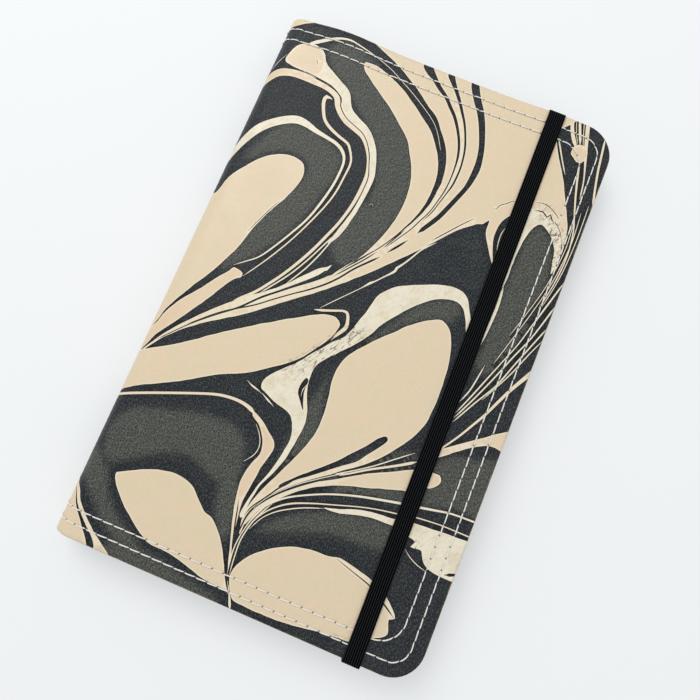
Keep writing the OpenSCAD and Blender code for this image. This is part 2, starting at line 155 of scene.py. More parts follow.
BEIGE_FIELDS = [
    # corner at the head of the spine
    [(-76, 104), (-67, 105), (-63, 106.8), (-58, 109.2), (-55, 112), (-76, 112)],
    # the long field that runs down from the head to the spine
    [(-42, 112), (-36, 108.9), (-30, 106.6), (-25, 104.8), (-20, 102.3), (-15, 99.3), (-10, 96),
     (-5, 92.2), (0, 88.7), (3, 84.7), (6, 81), (8.5, 76.5), (10.3, 71), (11, 66), (10.8, 61),
     (10, 55), (8, 49), (5.5, 43.5), (1, 35), (-3, 29), (-9, 21), (-14, 15), (-18, 12.5),
     (-24, 8), (-30, 3.5), (-36, -1.5), (-40, -4.5), (-50, -14), (-60, -25.5), (-68, -37),
     (-74, -44), (-68, -38), (-60, -28), (-50, -19.3), (-38, -11), (-26, -1), (-14, 9),
     (-3, 19.5), (5, 28), (14, 38), (20, 45.5), (24, 50), (29.5, 54.6), (31.5, 55.6), (33.3, 58),
     (33.6, 54), (35, 50.5), (37.5, 46.5), (40.5, 42), (44, 36), (44, 66), (47, 67.5), (50, 69),
     (54, 68), (57, 67), (60, 64), (63, 58), (62, 66), (60, 71), (57, 77.5), (54, 84), (51, 89),
     (48, 94), (46.3, 97.5), (45, 101), (44, 112)],
    # strip beside the long field, a narrow dark band away from it
    [(-35, 99.5), (-30, 99.9), (-24, 98.2), (-17, 95), (-10, 90.3), (-4.5, 86.2), (-0.6, 83.2),
     (2.2, 79.8), (5, 75.8), (7.4, 70.6), (8.5, 66), (8.8, 60), (8.4, 54.3), (6.6, 47.8),
     (4.3, 42.3), (1.8, 37.3), (-2, 31), (-6, 26), (-10, 20.8), (-14, 15), (-14, 14.2),
     (-10, 20.3), (-7, 25), (-4, 31), (-1.5, 38), (0.2, 45), (0.7, 52), (0.4, 58), (-1.5, 65),
     (-4.5, 71), (-8, 76.5), (-13, 81), (-19, 86), (-25, 90), (-31.5, 94.5), (-34.5, 97)],
    # lobe at the spine
    [(-74, 22), (-68, 29), (-66, 35), (-62.5, 40.5), (-58, 46.5), (-54, 50), (-50, 52),
     (-46, 52.8), (-42, 52), (-40, 50), (-39.2, 46), (-40, 41.5), (-42, 36), (-44.5, 31),
     (-47, 25), (-49, 19), (-50.3, 13), (-52.5, 7), (-55.5, 0), (-58, -4.5), (-60, -8),
     (-63.5, -15), (-66.5, -21), (-68, -26), (-74, -36)],
    # wide field below the middle of the spine
    [(-74, -40), (-68, -37.5), (-60, -33), (-52, -27.5), (-45, -22), (-30, -11.5), (-15, -2),
     (-10, 0.3), (-6, 0.8), (-3.6, -1), (-4, -4), (-6, -9), (-13, -19), (-21, -25.5),
     (-28, -30.5), (-38, -35.5), (-50, -43), (-63, -50), (-68, -53), (-74, -56)],
    # oval right of the middle
    [(-0.5, -66), (4, -61), (12, -54.5), (18, -49.6), (24, -44.8), (29, -40), (33.5, -34),
     (37, -28.5), (39, -23.5), (39.7, -18), (39.9, -10), (39.3, -2), (38.3, 4), (36.5, 9.5),
     (34.5, 12.8), (32, 14.6), (29.5, 14.7), (25, 12.3), (20, 8.3), (16, 4), (12.5, 0.5),
     (8.5, -4.2), (5, -8.5), (2.8, -12), (1.7, -17), (1.8, -22), (2.9, -28), (3.6, -34),
     (3.6, -40), (2.3, -46), (0, -52), (-2.5, -58), (-5.5, -65), (-7.8, -71), (-9, -78),
     (-7.5, -84), (-7.2, -78), (-5.5, -73), (-3, -69)],
    # oval near the tail of the spine
    [(-57, -82), (-56.5, -81), (-54, -79.6), (-50, -77.4), (-45, -75.2), (-40, -73.9),
     (-36, -73.6), (-32, -74.3), (-29, -75.8), (-25.5, -79), (-22, -81.8), (-18.5, -82.8),
     (-15, -86), (-12, -89.5), (-9.5, -93.5), (-7, -98), (-5.5, -100.5), (-3, -104),
     (-4.5, -103), (-8, -103), (-14, -102.5), (-20, -101), (-28, -99.4), (-35, -99.2),
     (-38, -98.2), (-43, -95.3), (-48, -91.8), (-52, -88.5), (-55.5, -84.8)],
    # oval at the tail
    [(-4.9, -97), (-4.3, -94), (-2.5, -91), (0, -88), (4, -84.8), (8, -82.3), (13, -80.3),
     (18, -79.2), (24, -78.9), (28.5, -77.9), (33, -78.6), (38, -79.6), (42, -80.7), (46, -82.5),
     (49, -84.3), (52, -86.7), (54, -89.2), (52, -90.5), (53, -93), (53.4, -95), (52, -96.8),
     (48.5, -98.5), (45, -101.8), (42, -102.4), (35, -103), (25, -104.4), (18, -105.3),
     (10, -105.7), (3, -105.5), (-1, -105), (-3.5, -101.5), (-4.7, -99)],
    # corner at the tail of the spine
    [(-76, -88), (-68, -91), (-64.5, -95), (-60, -99.3), (-55, -103.3), (-50, -106.3),
     (-46.5, -109), (-46, -114), (-76, -114)],
    # finger from the elastic towards the middle
    [(44, -39), (40, -40.3), (34, -43.5), (28, -46.5), (22, -50), (16, -53.8), (10, -57.3),
     (4, -61.5), (0, -65), (-3.5, -69), (-6, -74), (-7.8, -80), (-7, -80), (-5, -75),
     (-2, -70.5), (3, -65), (9, -60), (15, -56.6), (20, -54.5), (28, -52), (34, -50), (40, -48),
     (44, -46.8)],
    # band from the elastic to the fore edge
    [(44, -31), (48, -28.8), (53, -25), (57, -22), (60, -19.8), (64, -16.5), (68, -14),
     (74, -11), (74, -22), (68, -21.7), (65.5, -21.2), (62, -22), (57, -24.8), (53, -28),
     (48, -32.2), (44, -34)],
    [(44, -36.5), (48, -38), (50.5, -38), (51.8, -39.5), (51.2, -41.5), (49.5, -43.3),
     (48, -44), (44, -44.5)],
]

BEIGE_STREAKS = [
    [(-1, -70, 0.5), (-4.5, -77, 0.5), (-6.3, -85, 0.45), (-6, -92, 0.4), (-5.2, -98, 0.3)],
    [(41.5, -36.5, 1.2), (37, -39.5, 0.9), (32, -42.5, 0.8), (26, -46, 0.7), (20, -50, 0.6),
     (14, -53.5, 0.5), (8, -58, 0.5), (2, -63, 0.4), (-3, -68, 0.3)],
    [(44, -55.8, 0.5), (35, -57.4, 0.4), (28, -59.2, 0.4), (20, -61.8, 0.4), (12, -64.5, 0.5),
     (5, -67.5, 0.6), (0, -71.2, 0.5), (-3.5, -75.5, 0.4), (-6, -81, 0.3)],
    [(46, -30.5, 0.5), (48, -28.3, 0.6), (52, -22.3, 0.7), (55, -17, 0.8), (58, -11.5, 0.9),
     (61, -4.8, 1), (64, 1.5, 1.2), (68.5, 9.5, 1.6), (72, 15, 2)],
    [(44, -55.3, 0.5), (54, -54.2, 0.4), (60, -53.9, 0.4), (72, -53.9, 0.5)],
    [(46.5, 99, 0.6), (48.5, 95.5, 0.6), (51, 91, 0.5), (54, 86, 0.5)],
    [(63.5, 106, 0.8), (64.5, 98, 0.8), (65.3, 92, 0.8), (66.8, 84, 0.8), (68.5, 77, 1)],
    [(48, 112, 1.2), (50, 105, 1.4), (52, 101, 1.5), (54.5, 97.5, 1.6)],
    [(51, 112, 0.9), (52.5, 107, 1), (54, 103, 1), (55.5, 99, 1)],
    [(54.5, 112, 1.6), (56, 106, 1.6), (57.3, 101, 1.4), (58.5, 97, 1.2), (60, 92, 0.7),
     (61.5, 86, 0.5), (62.5, 79, 0.6)],
    [(57.5, 93, 0.8), (58.5, 88, 0.8), (60.5, 80, 0.7), (62.5, 73, 0.6), (64.5, 66, 0.5),
     (65.5, 58, 0.5), (65.3, 50, 0.5), (64.3, 42, 0.4), (62.5, 33, 0.4)],
]

ROSE_FIELDS = [
    [(-50, 2), (-49, 3.9), (-46, 3.4), (-44.9, 2.6), (-45, 1.2), (-46.5, 0.2), (-48, -1.5),
     (-51, -7), (-54, -12.5), (-58, -19), (-62, -25.5), (-66, -31.5), (-68, -36), (-74, -44),
     (-74, -34), (-68, -27), (-66.5, -23), (-64, -18), (-61, -13.3), (-57, -8), (-53, -2)],
    [(-20, -42.7), (-16, -44.5), (-12, -47.5), (-9.5, -49.3), (-8.3, -51.5), (-8.6, -55),
     (-9.8, -60), (-10.4, -66), (-11.1, -72), (-10.6, -78), (-9.5, -84), (-7.5, -91),
     (-6.5, -96), (-8, -92), (-10, -86), (-12, -80), (-13.5, -74.5), (-14.5, -69), (-14.6, -65),
     (-13.6, -60), (-12.2, -56), (-12.5, -53), (-14, -49.5), (-17, -46), (-20, -44.2)],
    [(53.2, 98), (55, 99.6), (57.5, 99.6), (59, 98), (59.2, 95.5), (58.2, 93), (56.5, 92.5),
     (54.3, 94), (53, 95)],
]
ROSE_STREAKS = [
    [(-74, 76, 3.6), (-69, 80, 3.8), (-65, 83, 3.3), (-60, 84.7, 3), (-55, 84.9, 3),
     (-50, 84.4, 2.4), (-46, 84, 2), (-42, 83, 2), (-39.5, 81.5, 2.2), (-38.2, 79, 2.2),
     (-36, 76.5, 2.2), (-32.5, 74, 2.2), (-28, 72.3, 2), (-24, 70.7, 2), (-21, 67.5, 1.7),
     (-18.5, 63.5, 1.7), (-17, 59, 1.6), (-16.4, 55, 1.6), (-16.7, 48, 1.4), (-17.5, 42, 1.2),
     (-19.2, 35, 1.1), (-21.5, 28.5, 1.1), (-24, 22, 1.1), (-27, 15.5, 1.1), (-30.5, 9, 1),
     (-34, 3.5, 1), (-38, -2, 1), (-44, -8, 0.9)],
    [(-41, 80.3, 1.6), (-43.5, 80.4, 1.6), (-43.8, 78.5, 1.4), (-43, 76, 1.3), (-41.5, 73, 1.2),
     (-40, 71, 1.2), (-37, 69, 1.2), (-33, 67.3, 1.1), (-28.5, 65.8, 1), (-26.8, 64, 0.9),
     (-25, 61, 0.8), (-24.2, 58, 0.8), (-24.5, 52, 0.7), (-25, 46, 0.7), (-26.5, 39.5, 0.6),
     (-29.5, 31, 0.6), (-33, 22.5, 0.5), (-37, 14.5, 0.5), (-41, 7.5, 0.4), (-44.5, 2, 0.35)],
    [(-74, -58, 0.8), (-68, -55.3, 0.9), (-60, -51.8, 0.9), (-50, -47.7, 0.9), (-40, -43.8, 0.9),
     (-34, -41.9, 1), (-28, -41.2, 1.1), (-23, -41.8, 1.3), (-19, -43.6, 1.8)],
    [(-14.8, 0.5, 1.4), (-12, 1.3, 0.9), (-8, 2.8, 0.8), (-5, 4, 0.8), (-3.2, 4.1, 1),
     (-2.2, 3, 1.1), (-1.5, 1, 1.2), (-1.2, -1, 1.4), (-2, -3, 1.4), (-3.5, -5.5, 1),
     (-4.5, -8, 0.6)],
]

CREAM_FIELDS = [
    # curl near the head of the spine
    [(-65, 90), (-64.5, 92), (-63, 96), (-60.5, 98.3), (-57, 99.2), (-53.5, 98.3), (-51, 96.5),
     (-49.7, 94), (-48, 92.3), (-44, 90.3), (-40, 88), (-36, 85.7), (-33.5, 81.5), (-31.5, 79),
     (-27, 76.6), (-23, 74.5), (-20, 71.5), (-17.3, 67.8), (-15.5, 63.5), (-14, 59), (-13.6, 56),
     (-13.7, 50), (-14.3, 44), (-15.2, 38), (-16.5, 32), (-18.5, 27.5), (-20, 26), (-18.8, 31),
     (-17.3, 37), (-16.2, 43), (-15.7, 50), (-15.8, 56), (-17.5, 61), (-19, 65), (-21.5, 69),
     (-24.5, 72), (-28, 73.4), (-32.5, 75.2), (-35.5, 77.3), (-37.3, 79.5), (-38, 82),
     (-43, 84.8), (-48, 85.8), (-57, 87), (-63, 87.8), (-64.5, 88.5)],
    # wedge where the strands meet
    [(-15.3, 18.8), (-16.3, 15.6), (-18.5, 13), (-21.5, 9.5), (-25, 6.5), (-29, 2), (-33, -2.5),
     (-38, -7), (-43, -11), (-38, -5), (-33, 0.6), (-29, 4.8), (-26, 8), (-22, 12.7),
     (-18.6, 16.2), (-16.7, 17.3)],
    # arch round the oval
    [(41, 18), (39, 22), (37, 25.8), (34, 28), (30, 28.3), (25, 27.2), (20, 25.2), (15, 22.8),
     (10, 20), (6.5, 16.5), (5, 14), (3.8, 8), (2.5, 4), (1.2, -1), (0, -4), (-1.5, -6),
     (-4, -8.5), (-7, -12.5), (-10.5, -17), (-13, -20.5), (-16, -23.5), (-20, -28), (-21.6, -31),
     (-21.2, -33.8), (-19.5, -34.6), (-15, -36.5), (-9, -38), (-6.5, -40), (-4.6, -44),
     (-4.2, -48), (-5, -54), (-6.3, -60), (-8.3, -66), (-9.6, -72), (-10.2, -78), (-8.9, -78),
     (-8.6, -72), (-7.5, -66), (-5, -60), (-3, -54), (-2, -48), (-1.4, -42), (-1.6, -38),
     (-2.8, -34), (-4.5, -30.5), (-5.8, -26.5), (-6.3, -23), (-6, -19), (-4, -15.5), (-1, -12),
     (2, -8.5), (5, -5), (8, -0.5), (10.5, 4.5), (14, 9.5), (18, 14.5), (22, 18.5), (26, 21.5),
     (30, 23.2), (33.5, 23.5), (36.5, 22), (38.8, 18.5), (40.8, 14)],
    [(44, -57.5), (41, -58.3), (34, -59), (28, -60.2), (22, -62.5), (16.5, -64.3), (22, -64),
     (28, -62.2), (34, -61), (41, -60.6), (44, -60.5)],
    # block at the fore edge
    [(44, -57.3), (48.4, -56.9), (55, -56.4), (60, -56), (68, -55.5), (74, -55.4), (74, -70.5),
     (68, -70.4), (62, -70.2), (58, -69.4), (55.5, -67.3), (54.3, -65), (53, -64.7), (50, -65),
     (50.9, -63), (49.8, -62.2), (48.5, -62), (44, -60.8)],
    # arch beside the elastic
    [(44, 34), (45, 60), (47, 67.5), (51, 68.8), (56, 67.4), (60, 63.5), (62.8, 56), (62.4, 47),
     (61.6, 50), (60, 57), (56.5, 61.5), (52.5, 64), (50, 61.8), (48.3, 56), (47.6, 48),
     (47.4, 36)],
]
CREAM_STREAKS = [
    [(-3, -72, 0.45), (-6.2, -80, 0.45), (-7.4, -88, 0.4), (-6.8, -94, 0.35), (-6, -98, 0.3)],
    [(-27, -33.2, 0.4), (-24.6, -34.3, 0.6), (-22.2, -34.9, 0.6), (-20.3, -35.6, 0.4)],
    [(-20.2, -35.4, 0.5), (-17, -37, 0.65), (-14.4, -38.2, 0.4)],
    [(-17.5, 31.5, 0.5), (-19, 27.5, 0.5), (-21, 21, 0.5), (-24, 13.5, 0.5), (-28.5, 5.2, 0.4)],
    [(-18.8, 30, 0.5), (-21, 25, 0.5), (-24, 18, 0.5), (-27, 12, 0.5), (-30, 7, 0.5),
     (-36, -1.5, 0.5)],
    [(-59, 98.5, 2), (-56, 100.4, 1.6), (-52, 102.8, 1.3), (-48, 104.7, 0.9), (-44, 105.4, 0.7),
     (-40, 104.9, 0.5), (-33, 103.6, 0.3), (-26, 101.6, 0.25), (-20, 98.8, 0.25),
     (-10, 93.2, 0.25), (0, 86, 0.2), (6, 77, 0.2)],
    [(-74, 38, 3), (-69, 47, 3.2), (-66.5, 52, 3.4), (-63, 58, 3.4), (-59, 62.3, 3.2),
     (-54, 65.8, 3.2), (-50, 67.3, 3.2), (-46, 67, 2.6), (-42, 65.9, 1.9), (-37, 65, 1.4),
     (-33, 64.2, 1.3), (-30, 62.8, 1.3), (-27.8, 60.5, 1.1), (-26.8, 57.5, 0.9), (-26.7, 53, 0.9),
     (-27.2, 47, 0.9), (-28.8, 39, 0.9), (-31, 31.5, 0.8), (-34.5, 24, 0.7), (-38.5, 16.5, 0.6),
     (-42, 11, 0.5), (-46, 7.5, 0.4), (-49.5, 4.5, 0.3)],
    [(18, 42, 0.5), (14, 37.5, 0.5), (11.5, 33, 0.6), (9.5, 29.5, 0.6), (7.8, 27, 0.9),
     (7.5, 25.5, 0.9), (5, 22.5, 0.5), (2, 19, 0.5), (0.7, 17.8, 0.9), (-1.5, 15, 0.3),
     (-5, 11, 0.3), (-9, 6.5, 0.3), (-13, 1.8, 0.3)],
    [(44, -51.8, 0.9), (35, -53.8, 0.8), (25, -56.3, 0.7), (15, -59.8, 0.6), (5, -64.8, 0.6),
     (0, -68.5, 0.6), (-3, -72, 0.5), (-5.5, -77, 0.4), (-7, -83, 0.3)],
    [(16.5, -64.5, 0.3), (10, -67, 0.4), (5, -69.6, 0.4), (1, -72.3, 0.4), (-2.5, -76, 0.3),
     (-5, -81, 0.3)],
    [(39.5, -34, 0.3), (34, -38.5, 0.4), (28, -43.5, 0.4), (22, -47.8, 0.4), (16, -51.8, 0.4),
     (8, -57.5, 0.3), (0, -64, 0.3)],
    [(44, -52, 0.9), (52, -50.3, 0.8), (60, -48.8, 0.6), (72, -48.3, 0.7)],
    [(47.4, 36, 0.8), (48, 28, 1.1), (47.8, 20, 1), (47.4, 12, 0.5)],
    [(48.7, -84, 0.5), (53.8, -89, 0.6)],
    [(-5, -100, 0.3), (-2.5, -104, 0.5), (-1, -107, 1), (0, -109, 1.5)],
    # fan of threads right of the elastic
    [(47.5, -11, 0.4), (49.5, -6, 0.5), (50.5, -1, 0.5), (51.5, 5.5, 0.3)],
    [(47.8, -15, 0.4), (51, -7, 0.5), (54, 1, 0.5), (57, 9, 0.4), (60, 17, 0.4), (62.5, 26, 0.5),
     (65, 35, 0.6), (68, 46, 0.5)],
    [(47.8, -17, 0.5), (52, -8, 0.5), (56, 1.5, 0.5), (60, 12, 0.5), (64, 22, 0.5), (68, 36, 0.6)],
    [(48, -18.5, 0.5), (53, -9, 0.5), (58, 0, 0.5), (62, 11, 0.5), (68, 27, 0.5)],
    [(55, -7, 0.3), (61, 5, 0.4), (65, 15, 0.4), (68, 22, 0.3)],
]

DARK_FIELDS = [
    # lobe by the elastic
    [(42, 64), (40, 62.5), (38.5, 60.5), (37.6, 58), (37.2, 54.5), (37.6, 51), (38.7, 47.5),
     (40.3, 43.5), (42, 40), (46, 40), (46, 64)],
    # sliver in the neck of the arch
    [(-7.5, -24), (-8.5, -27.5), (-8, -30.5), (-6, -33), (-3.8, -35.5), (-5.5, -31.5),
     (-6.3, -28), (-6.2, -25)],
    # finger in the oval
    [(28.5, -33.2), (28.4, -34.5), (26.5, -37.5), (23.5, -41.5), (21, -45), (16, -49), (10, -54),
     (4, -58.8), (-1, -63.5), (-1, -62.6), (4, -57.3), (10, -51.8), (15, -46.8), (19, -42.2),
     (22.5, -38), (25.5, -34), (27.5, -32.6)],
]
DARK_STREAKS = [
    # hairline between the two strands of the curl
    [(-57, 87.2, 0.35), (-48, 86, 0.4), (-43, 85, 0.4), (-38, 82.1, 0.4), (-37.2, 79.5, 0.4),
     (-35.4, 77.2, 0.4), (-32.5, 75.1, 0.35), (-28, 73.3, 0.35), (-24.5, 71.8, 0.35),
     (-21.5, 68.9, 0.35), (-19, 64.9, 0.4), (-17.5, 61, 0.35), (-15.8, 56, 0.4), (-15.7, 50, 0.4),
     (-16.2, 43, 0.35), (-17.3, 37, 0.3)],
    # torn lines over the arch beside the elastic
    [(47.1, 71.4, 0.25), (51.1, 72.2, 0.3), (55.2, 70.5, 0.3), (58.4, 68, 0.25)],
    [(47.8, 68.2, 0.3), (51, 69, 0.5), (53.3, 67.5, 0.5), (54.2, 69, 0.4), (55.6, 67, 0.5),
     (57.4, 66.2, 0.3)],
    # the finger's end and the band beside it, down to where the strands meet
    [(2.5, -60.2, 0.9), (-0.8, -63.8, 0.6), (-2.6, -66.6, 0.5), (-5, -70.2, 0.45),
     (-7.4, -73.8, 0.4), (-8.6, -77.5, 0.3)],
    [(17.5, -51.3, 1.6), (10.7, -56.1, 1.4), (5.2, -60.4, 1.25), (-0.1, -65.2, 1.1),
     (-3.8, -69.6, 0.9), (-6.7, -74.2, 0.7), (-7.9, -78.5, 0.6), (-8, -84, 0.4)],
    [(-2.4, -71.5, 0.3), (-5.6, -79, 0.35), (-7, -87, 0.3), (-6.3, -94, 0.3), (-5.6, -99, 0.3)],
    [(-13, 110.5, 4.2), (-10.5, 107, 3.6), (-7, 104, 2.2), (-4, 101.3, 1.8), (0, 98.4, 1.5),
     (3, 95.2, 1.4), (6, 92, 1.3), (9, 87.5, 1.1), (11.5, 82.5, 1), (13, 77.5, 0.9),
     (13.6, 72.5, 0.6), (13.7, 67, 0.5), (13.3, 62, 0.5), (12.3, 57, 0.4), (11, 52, 0.4),
     (9, 47.5, 0.4), (7, 43, 0.4), (4, 38, 0.35), (1, 33, 0.3)],
    [(-3, 110.5, 3.6), (-0.5, 106.5, 2.4), (1.5, 104, 1.7), (5, 99.5, 1.3), (8, 95, 1.1),
     (10.5, 91, 0.9), (12.8, 86, 0.8), (14.5, 81, 0.8), (15.4, 76, 0.7), (15.7, 72, 0.7),
     (15.4, 66, 0.7), (14.5, 62, 0.5), (13.2, 57, 0.4), (12, 52.5, 0.4), (10, 48, 0.3)],
    [(7.5, 110.5, 3.4), (9.5, 106, 3.2), (11.8, 102, 3), (14.5, 98, 2.8), (16.8, 93.5, 2.6),
     (18.8, 88.5, 2.4), (20.3, 84, 2.3), (21.3, 79, 2.4), (21.6, 75, 2.6), (21.2, 70, 2.2),
     (20.4, 66, 1.8), (19, 62, 1.8), (17, 56.5, 1.8), (15, 51.5, 1.8), (12.5, 47, 1.7),
     (10.6, 43.8, 1.5), (9.9, 42.4, 1)],
    [(-14.6, 17, 3), (-17, 13.5, 2), (-20.5, 10, 1.5), (-25, 6, 1), (-30, 1.5, 0.8),
     (-35, -3, 0.8), (-41, -9.5, 0.7), (-48, -15.5, 0.5), (-56, -23, 0.4), (-64, -32, 0.3)],
    [(0.3, 28.6, 0.8), (-3, 25, 0.8), (-7, 20.5, 0.7), (-11, 15, 0.7), (-15, 10.6, 0.7),
     (-20, 6.3, 0.6), (-24, 3.3, 0.5), (-30, -1.5, 0.5), (-36, -6.5, 0.5), (-42, -10.5, 0.6),
     (-48, -15, 0.5), (-56, -22.5, 0.3)],
    [(-1.5, 30, 0.4), (-5, 25, 0.5), (-9, 20, 0.5), (-13, 15, 0.4)],
    [(2, 31, 0.8), (5, 35, 0.9), (7.8, 39, 0.5)],
    [(0, 32, 0.4), (2.5, 37, 0.5), (5, 42, 0.6)],
    [(28, 56.5, 0.3), (24, 52, 0.35), (20, 47, 0.4), (16, 42, 0.4)],
    [(33.3, 63, 0.5), (34.3, 63.2, 0.5), (35, 65, 0.3), (37.5, 67, 0.3), (39, 68.5, 0.3),
     (41, 69, 0.3)],
    [(27.5, -78.6, 0.25), (34, -80.4, 0.3), (42, -82.7, 0.5), (48, -86, 0.6), (53.5, -89.3, 0.4)],
    [(-72, -90, 0.3), (-68, -93.3, 0.4), (-65.5, -96.5, 0.7), (-62, -100, 1), (-59, -103, 1.6),
     (-56, -105.8, 2.3), (-53, -110, 3)],
    [(-12.8, -73, 0.2), (-11.8, -76, 0.4), (-10.5, -81, 0.5), (-9, -86, 0.5), (-7.5, -91, 0.4)],
    [(-14, -50, 0.3), (-14, -54, 0.3), (-15, -59, 0.3), (-15, -63, 0.3)],
    [(-43.6, 34, 0.15), (-45.2, 30.6, 0.25), (-47.6, 24.7, 0.25), (-49.9, 18.8, 0.2)],
    [(-53.4, 93.6, 0.25), (-52.7, 92.4, 0.5), (-51.9, 91.3, 0.25)],
    [(64.3, -69.3, 0.8), (66, -68.6, 1.5), (69, -67.4, 1.8)],
]
# the curl's round end, beige over the cream
CURL_END = [(-64.4, 89.2), (-64.2, 92), (-62.7, 95.8), (-60.4, 98), (-57, 98.9), (-53.7, 98),
            (-51.3, 96.1), (-50.2, 93.5), (-49.6, 90.8), (-49.8, 88), (-50.5, 86), (-57, 87.2),
            (-62.8, 88.1)]
# thin lines laid over the dark print
CREAM_HAIRLINES = [
    [(-65.2, 91.5, 0.25), (-67.2, 88.2, 0.3), (-69, 84.8, 0.3)],
    [(-11.3, 45.7, 0.25), (-11, 46.5, 0.35), (-10.2, 46.6, 0.35), (-9.8, 46, 0.25)],
    [(52.8, 112, 0.3), (54.2, 107, 0.3), (55.6, 102.2, 0.3), (57, 98.5, 0.25)],
    [(49.7, 112, 0.25), (51.2, 106.5, 0.25), (53, 102, 0.25), (54.8, 98.6, 0.2)],
    [(64.8, 74, 0.25), (65.4, 62, 0.3), (64.6, 50, 0.3), (63, 40, 0.28), (60.6, 30, 0.28),
     (57.6, 19, 0.28), (54.2, 7, 0.25)],
    [(63.4, 70, 0.25), (64.1, 60, 0.28), (63.4, 50, 0.28), (61.8, 40, 0.28), (59.2, 30, 0.25),
     (56, 19, 0.22)],
    [(66.6, 78, 0.25), (66.8, 64, 0.3), (66.3, 52, 0.3), (65.2, 43, 0.28), (63.4, 34, 0.25)],
    [(40.3, 58, 0.35), (39.5, 55, 0.35), (39.6, 51, 0.35), (40.3, 47.5, 0.35)],
    [(20, -49.2, 0.3), (16.2, -52, 0.3), (10.6, -55.9, 0.3), (5, -60.1, 0.28), (-0.2, -64.9, 0.25),
     (-4, -69.4, 0.22), (-6.6, -74, 0.2)],
    [(-17.8, -46.4, 0.2), (-15.5, -48.8, 0.28), (-13.7, -52, 0.3), (-13.4, -55, 0.3),
     (-14.5, -57.8, 0.3), (-16.6, -60.4, 0.25)],
    [(-5.9, -25.6, 0.3), (-6.9, -28.4, 0.35), (-6.6, -31, 0.25)],
    [(48.6, -66.4, 0.3), (51, -68.2, 0.3), (54.5, -69.8, 0.3), (58.1, -70.6, 0.3)],
]

# where the dark print dried to a browner, olive black
OLIVE_FIELDS = [
    [(-46, 104), (-30, 101), (-24, 92), (-8, 80), (2, 62), (0, 42), (-10, 20), (-20, 30),
     (-12, 52), (-20, 70), (-32, 82), (-50, 96)],
    [(-50, 66), (-34, 63), (-27.5, 56), (-32, 34), (-40, 16), (-54, 2), (-46, 32), (-38, 50),
     (-50, 54), (-62, 46), (-56, 62)],
    [(34, 24), (20, 16), (4, -12), (-4, -40), (-4, -62), (4, -44), (2, -18), (20, 9), (34, 16)],
    [(-30, -50), (-18, -56), (-18, -70), (-40, -66), (-60, -78), (-66, -70), (-60, -58)],
    [(44, -61), (24, -63), (8, -70), (-2, -80), (20, -72), (44, -69)],
    [(48, 36), (49, 58), (53, 63), (59, 56), (62, 40), (58, 8), (49, 4)],
    [(48, -34), (60, -28), (76, -26), (76, -46), (60, -47), (48, -49)],
    [(22, -43), (34, -36), (44, -36), (44, -41), (34, -45.5), (24, -50), (12, -56)],
    [(18, -53), (30, -49.5), (44, -47), (44, -52), (30, -55), (18, -58)],
    [(-67, -76), (-60, -83), (-57, -89), (-50, -95), (-40, -101), (-32, -106), (-46, -103),
     (-56, -97), (-64, -89), (-70, -84)],
    [(-20, -68), (-12, -70), (-11, -80), (-12, -88), (-17, -84), (-20, -76)],
    [(-48, -104), (-36, -102), (-20, -105), (-8, -107), (-8, -112), (-50, -112)],
]

# where the light print has crackled
CRACKLE_PATCHES = [
    (-3, -9, 6), (-8, -14, 6), (-14, -20, 6), (2, -3, 5), (58, 62, 6), (60, 52, 5), (52, 69, 4),
    (38, -99, 5), (50, -64, 3)]


# The rolled-out cover: u runs across it and v up it

# length of a drawn curve's steps
CURVE_STEP = 1.2
# how far the drawn points wander, how quickly, and which wandering it is
INK_WANDER = 0.16
INK_WANDER_RATE = 0.35
INK_WANDER_SEED = 4.7
# length over which a streak narrows to its tip
STREAK_TIP = 2.5
# a needle hole: how wide it dips, where the dip ends, its depth, and the rings of points round it
HOLE_REACH = 0.5
HOLE_END = 1.2
HOLE_DEPTH = 0.28
HOLE_RINGS = (0.35, 0.7)
# points along the cover's outline: over each end, round each corner and up each side
END_POINTS = 100
CORNER_POINTS = 10
SIDE_POINTS = 96
# steps of the even scatter of points: over the leather, and round the spine
TOP_STEPS = (2.6, 1.2)
UNDERSIDE_STEPS = (11, 1.6)
# share of the spine's radius past which a drawn point is taken on beyond the fold, and how fast
NEAR_FOLD = 0.98
PAST_FOLD = 3
# borders of the olive print fade over this width
OLIVE_FADE = 4.0
# width of the rim that is rubbed by handling
RIM_WIDE = 4
# a point's distance from any border, where the leather has no print
FAR_FROM_BORDER = 9.0


def gauss(x, middle, reach):
    """A smooth bump of height 1."""
    return np.exp(-((x - middle) / reach) ** 2)


def wrap(u, v, lift, back=False):
    """Points of the rolled-out cover, laid round the spine. lift is measured out of the face."""
    u, v, lift = (np.asarray(a, float) for a in (u, v, lift))
    v = v + head_wave(u) * np.clip((v - HEAD_WAVE_FROM) / (HALF_HIGH - HEAD_WAVE_FROM), 0, 1) ** 2
    angle = np.clip((SPINE_X - u) / SPINE_R, 0, math.pi / 2)
    radius = SPINE_R + lift
    x = np.where(u >= SPINE_X, u, SPINE_X - radius * np.sin(angle))
    z = np.where(u >= SPINE_X, COVER_THICK + lift, SPINE_R + radius * np.cos(angle))
    if back:
        z = COVER_THICK - z
    return np.stack([x, v, z], axis=-1)


def head_wave(u):
    """How far the hand-cut head edge wanders from straight."""
    return sum(height * gauss(u, place, reach) for place, reach, height in HEAD_WAVES)


def to_flat(x, y):
    """A point of the drawn sheet, seen from above, on the rolled-out cover."""
    x = (x - SHEET_MIDDLE) * (FORE_X - FOLD_X) / SHEET_WIDE
    v = y * 2 * HALF_HIGH / SHEET_HIGH
    if x >= SPINE_X:
        return x, v
    ratio = min((SPINE_X - x) / SPINE_R, NEAR_FOLD)
    beyond = max(0.0, (SPINE_X - x) - NEAR_FOLD * SPINE_R)
    return SPINE_X - SPINE_R * math.asin(ratio) - PAST_FOLD * beyond, v


